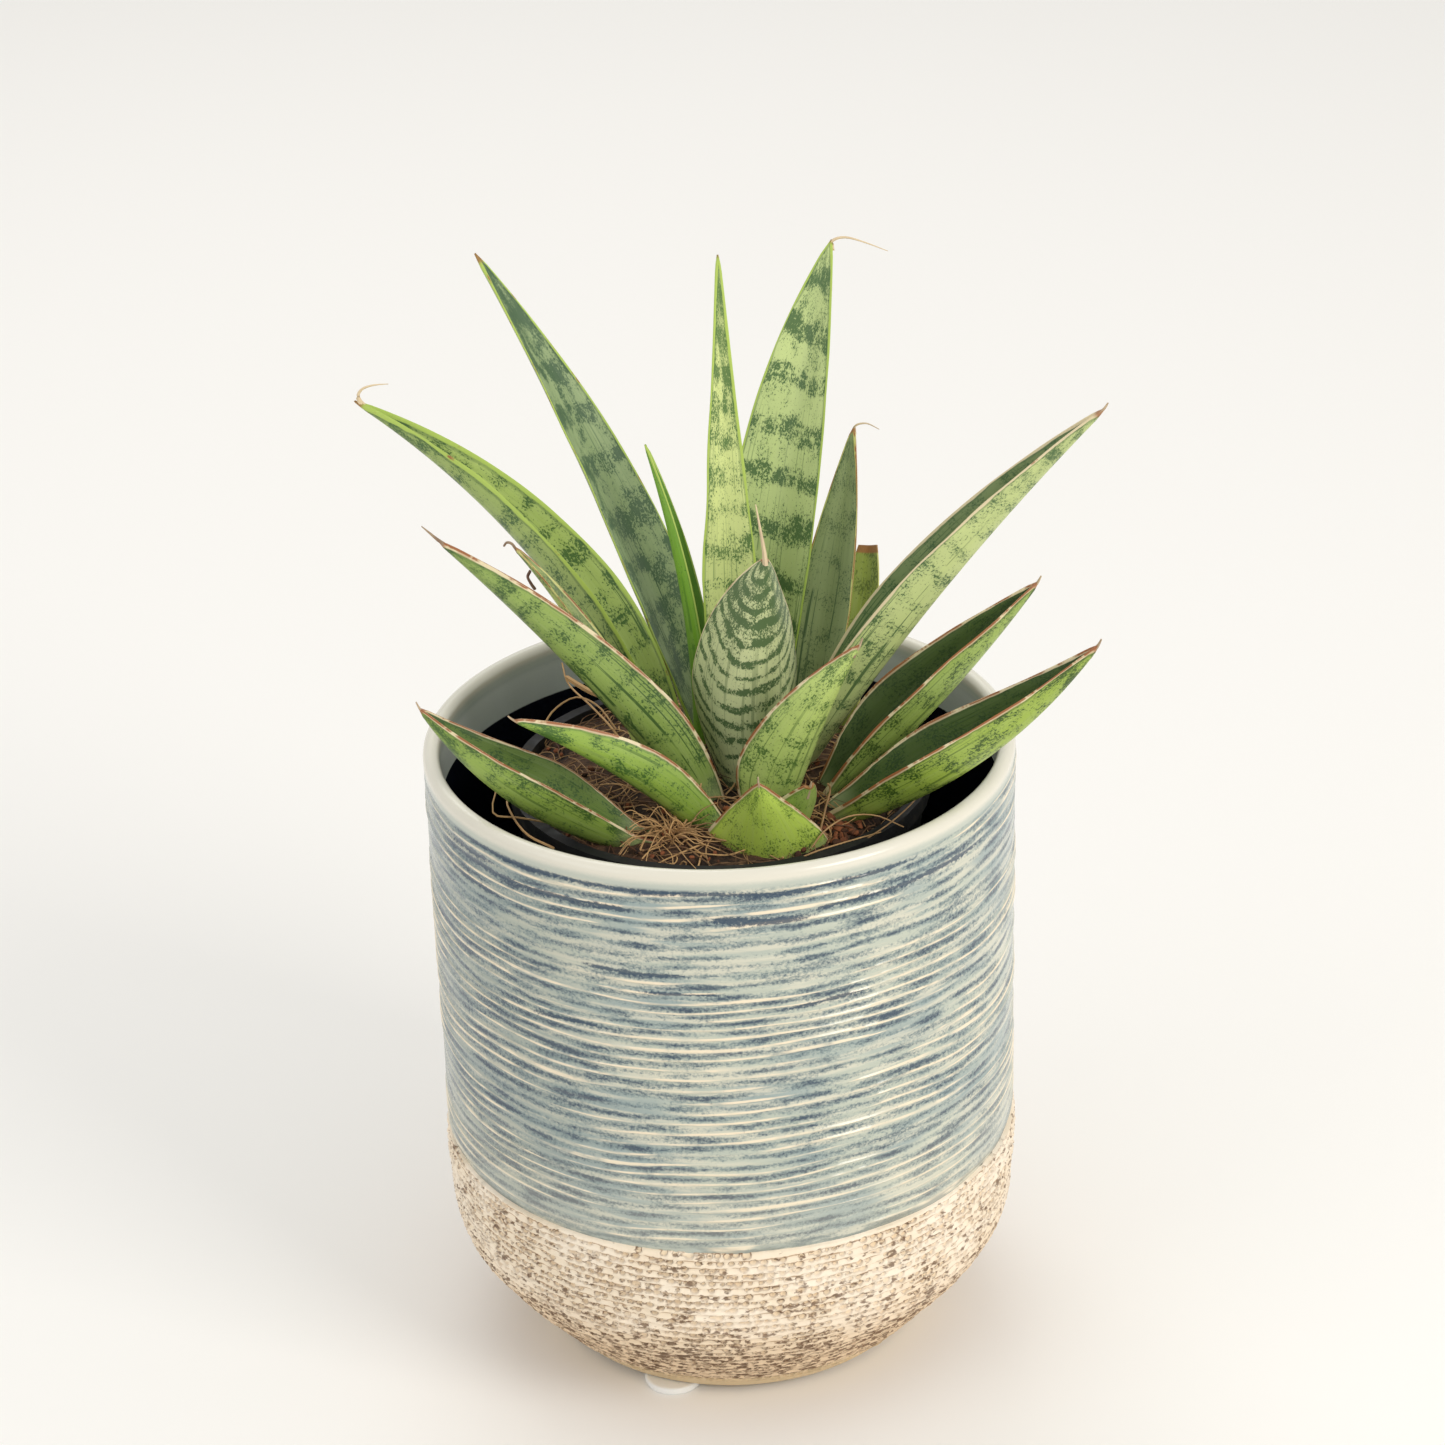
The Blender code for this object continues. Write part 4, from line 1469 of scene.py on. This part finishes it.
# %% Single roots
ROOTS = (
    # path in mm, radius at the start and at the end, tint
    (((-18, 27, 136), (-23, 32, 138), (-29, 36.5, 138.6), (-34.5, 40.5, 140.5)), 0.75, 0.6, 0.95),
    (((-20, 12, 135), (-24, 19, 138), (-29, 29, 139), (-34, 39, 139.5), (-35.5, 45, 142)),
     0.28, 0.2, 0.9),
    (((-40, 23, 136), (-37, 27, 139), (-32, 29, 141), (-27, 26, 140), (-23, 20, 137)), 0.25, 0.2, 0.85),
    (((-33, -22, 135), (-43, -25, 139), (-49, -24, 140), (-47, -14, 143), (-42, -11, 141)),
     0.25, 0.15, 0.8),
    (((-36, -30, 134), (-42, -30, 138), (-46, -22, 141), (-44, -16, 139)), 0.3, 0.2, 0.7),
    (((-16, 5, 141), (-11, 1, 147), (-6, -9, 146), (-4, -16, 143), (-6, -25, 137)), 0.22, 0.18, 0.9),
    (((19, -37, 136), (22, -35, 139), (27, -31, 140), (33, -28, 138.5), (39, -29, 136)), 0.22, 0.15, 0.6),
    (((21, -30, 136), (22.6, -27, 141), (23.5, -26, 144), (23, -27, 146)), 0.3, 0.2, 0.5),
    (((30, -34, 135.5), (36, -30, 137.6), (41, -22, 137.8), (43, -14, 136)), 0.2, 0.14, 0.5),
    (((14, -40, 134), (20, -40.5, 137), (28, -37, 137.6), (34, -31, 136)), 0.22, 0.15, 0.65),
    (((33, 6, 135), (40, 10, 139), (45, 8, 140), (48, 2, 138)), 0.25, 0.15, 0.8),
    (((-8, 33, 135), (-12, 40, 139), (-9, 46, 139), (-3, 47, 136)), 0.3, 0.2, 0.8),
)
threads = [lay_thread(fine_thread, "root", path, a, b, tint=tint) for path, a, b, tint in ROOTS]
print(len(threads), "single roots")

# %% [markdown]
# ## Paths over the compost
# The rest of the threads are strewn by dice with a fixed seed, so the same plant grows every
# time. Some wander over the heap and rise a little in the middle. The others spring out of one
# tuft in front and droop.

# %% Strewn paths
TUFT = (-10.4, -30.0)
EDGE_R = 42.5                 # no thread starts or turns outside this radius, in mm
dice = random.Random(11)


def ground(x, y):
    return float(heap_z(math.hypot(x, y) * MM)) / MM


def strewn_path(x, y, heading, length, lift):
    """A wandering path over the compost, that rises in the middle."""
    path = []
    turn = dice.uniform(-0.5, 0.5)
    for i in range(6):
        r = math.hypot(x, y)
        if r > EDGE_R:
            x, y = x * EDGE_R / r, y * EDGE_R / r
        arch = math.sin(math.pi * i / 5) * lift
        path.append((x, y, ground(x, y) - 0.6 + arch + dice.uniform(0, 0.9)))
        x += math.cos(heading) * length / 5
        y += math.sin(heading) * length / 5
        heading += turn + dice.uniform(-0.45, 0.45)
    return path


def tuft_path():
    heading, steep = dice.uniform(0, 2 * math.pi), dice.uniform(0.1, 0.9)
    length = dice.uniform(6, 15)
    x, y = TUFT[0] + dice.gauss(0, 1.5), TUFT[1] + dice.gauss(0, 1.5)
    z = ground(x, y) + 0.5
    path = [(x, y, z - 2)]
    for i in range(1, 5):
        reach = length * i / 4
        droop = 0.035 * reach ** 2 * dice.uniform(0.5, 1.2)
        x2 = x + math.cos(heading + 0.08 * i) * reach * math.cos(steep)
        y2 = y + math.sin(heading + 0.08 * i) * reach * math.cos(steep)
        path.append((x2, y2, max(z + reach * math.sin(steep) - droop, 134.5)))
    return path


print("the compost is", round(ground(0, 0), 1), "mm up in the middle")

# %% [markdown]
# ## Strewing the threads
# Half a thousand threads are laid and then joined into one piece. Most are finer than half a
# millimetre, and each has its own tint between bark and straw.

# %% Strew the threads
COIR_COUNT = 460
TUFT_COUNT = 80
STREWN_R = 42                 # in mm, like the compost's own edge
for _ in range(COIR_COUNT):
    r, a = STREWN_R * dice.random() ** 0.45, dice.uniform(-math.pi, math.pi)
    heading, length = dice.uniform(0, 2 * math.pi), dice.uniform(5, 26)
    path = strewn_path(r * math.cos(a), r * math.sin(a), heading, length, dice.uniform(0, 2.2))
    radius = dice.choice((0.08, 0.1, 0.12, 0.15, 0.22))
    threads.append(lay_thread(fine_thread, "coir", path, radius, radius * 0.6, tint=dice.random()))
for _ in range(TUFT_COUNT):
    threads.append(lay_thread(fine_thread, "tuft", tuft_path(), 0.17, 0.09, tint=dice.uniform(0.45, 1)))
fibres = join_all("coir_fibres_and_roots", threads)
print(len(threads), "threads")

# %% [markdown]
# ## Crumbs
# Clods of compost lie between the fibres. One lumpy stone is modelled from an ico sphere, and
# every crumb is a turned and scaled copy of it.

# %% Crumbs
CRUMB_COUNT = 330
bpy.ops.object.select_all(action="DESELECT")
bpy.ops.mesh.primitive_ico_sphere_add(subdivisions=2, radius=1)
clod = name_new("clod")
points = positions(clod)
place_vertices(clod, points * (1 + 0.45 * wander(points, (1.4, 1.4, 1.4), 3.0))[:, None])
crumbs = []
for i in range(CRUMB_COUNT):
    if i % 3 == 0:
        x, y = dice.gauss(25, 6), dice.gauss(-30, 5)
    else:
        r, a = STREWN_R * dice.random() ** 0.4, dice.uniform(-math.pi, math.pi)
        x, y = r * math.cos(a), r * math.sin(a)
    if math.hypot(x, y) > STREWN_R:
        continue
    crumb = copy_of(clod, "crumb")
    size = dice.uniform(0.3, 0.95) * (1.25 if i % 3 == 0 else 1)
    shape = Matrix.Diagonal((size, size * dice.uniform(0.6, 1.2), size * dice.uniform(0.6, 1)))
    spin = Matrix.Rotation(dice.uniform(0, 6.28), 3, "Z")
    spin = spin @ Matrix.Rotation(dice.uniform(0, 6.28), 3, "X")
    local = positions(crumb) @ np.array(spin @ shape).T
    place_vertices(crumb, (local + (x, y, ground(x, y) + dice.uniform(-0.3, 0.7))) * MM)
    store(crumb, "tint", "FLOAT", np.full(len(local), dice.random()))
    crumbs.append(crumb)
soil_crumbs = join_all("compost_crumbs", crumbs)
shade_smooth(soil_crumbs, 40)
bpy.data.objects.remove(clod)
print(len(crumbs), "crumbs")

# %% [markdown]
# ## Finishes for threads and crumbs
# One recipe colours everything strewn. It goes from a dark to a pale tone by the tint of each
# thread or crumb, stained a little along it.

# %% Thread and crumb finishes
THREAD_BARK = srgb(84, 52, 32)
THREAD_STRAW = srgb(206, 164, 112)
CRUMB_RUST = srgb(142, 84, 52)


def tinted_material(name, dark, pale, rough):
    material, r, shader = new_material(name)
    where = r.object_place()
    tint = r.attribute("tint").outputs["Fac"]
    stain = r.noise(r.stretch(where, (260, 260, 260)), detail=4)
    mixed = r.math("MULTIPLY_ADD", stain, 0.7, r.math("SUBTRACT", tint, 0.35))
    wire(r, shader, r.blend(r.step(mixed, 0.0, 1.0), dark, pale), rough, stain, bump=0.4)
    return material


finish_piece(fibres, tinted_material("coir_straw", THREAD_BARK, THREAD_STRAW, 0.7))
finish_piece(soil_crumbs, tinted_material("compost_clods", COMPOST_DARK, CRUMB_RUST, 0.95))
print("threads and crumbs are finished")

# %% [markdown]
# ## Curled tips
# The tips of the older leaves have dried and curled into thin papery hooks. Each is a flattened,
# tapering thread in its own piece, laid along a path that was drawn for it.

# %% Curled tips
CURLS = {
    # path in mm, radius at the start and at the end, tint
    "leaf_01": (((-74.5, 36.5, 209), (-77, 37.8, 211.4), (-76.4, 38, 213.6), (-73.8, 38, 214.6),
                 (-70.3, 38, 214.8)), 1.0, 0.15, 0.9),
    "leaf_05": (((28, 44, 240.5), (28.2, 44, 242.7), (31, 44, 243.4), (35, 44, 242.2),
                 (40.3, 44, 239.9)), 0.8, 0.15, 0.85),
    "leaf_06": (((32, 36, 200), (32.3, 36, 202.2), (34.8, 36, 202.7), (37.6, 36, 201.2)),
                0.6, 0.15, 0.7),
    "leaf_11": (((10.9, -24, 196.4), (10.7, -24, 199.5), (10, -24, 204.5), (9.2, -24, 210)),
                1.1, 0.22, 0.75),
    "leaf_13": (((-55.5, -8, 195), (-58.2, -8, 197.2), (-60, -8, 199), (-61.5, -8, 200.5)),
                0.9, 0.2, 0.35),
    "leaf_14": (((-42, 3.8, 188.4), (-43.2, 4, 190.4), (-44.3, 4, 190.8), (-45, 4, 190)),
                0.6, 0.45, 0.25),
    "leaf_14_scrap": (((-38.8, 4, 179.6), (-39.6, 4, 181), (-40.2, 4, 182.6), (-39.6, 4, 184)),
                      0.7, 0.5, 0.05),
}
paper = tinted_material("dry_leaf_paper", srgb(96, 62, 50), srgb(228, 206, 168), 0.75)
for name, (path, thick, thin, tint) in CURLS.items():
    curl = lay_thread(fine_thread, "dry_tip_" + name, path, thick, thin, flat=0.55, tint=tint)
    finish_piece(curl, paper)
print(len(CURLS), "curls")

# %% [markdown]
# ## Straight tips
# The other leaves only end in a short brown point. It goes on in the direction of the leaf's own
# spine, so no path has to be drawn.

# %% Straight tips
TIPPED = ("leaf_08", "leaf_09", "leaf_10", "leaf_12", "leaf_15", "leaf_16", "leaf_17", "leaf_18")


def straight_tip(leaf):
    """A short dry point that goes on from the leaf's own tip."""
    place, _, _ = spine(leaf, np.array([0.95, 1.0]))
    way = (place[1] - place[0]) / np.linalg.norm(place[1] - place[0])
    end = place[1]
    hooked = end + way * 1.2 + np.array((0, 0, 0.4))
    return tuple(end - way * 3.5), tuple(end - way * 1.6), tuple(end), tuple(hooked)


for leaf in LEAVES:
    if leaf.name[:7] in TIPPED:
        path = straight_tip(leaf)
        point = lay_thread(fine_thread, "dry_tip_" + leaf.name[:7], path, 0.75, 0.25, flat=0.6, tint=0.5)
        finish_piece(point, paper)
bpy.data.objects.remove(fine_thread)
print(len(TIPPED), "straight tips")

# %% [markdown] ## The end
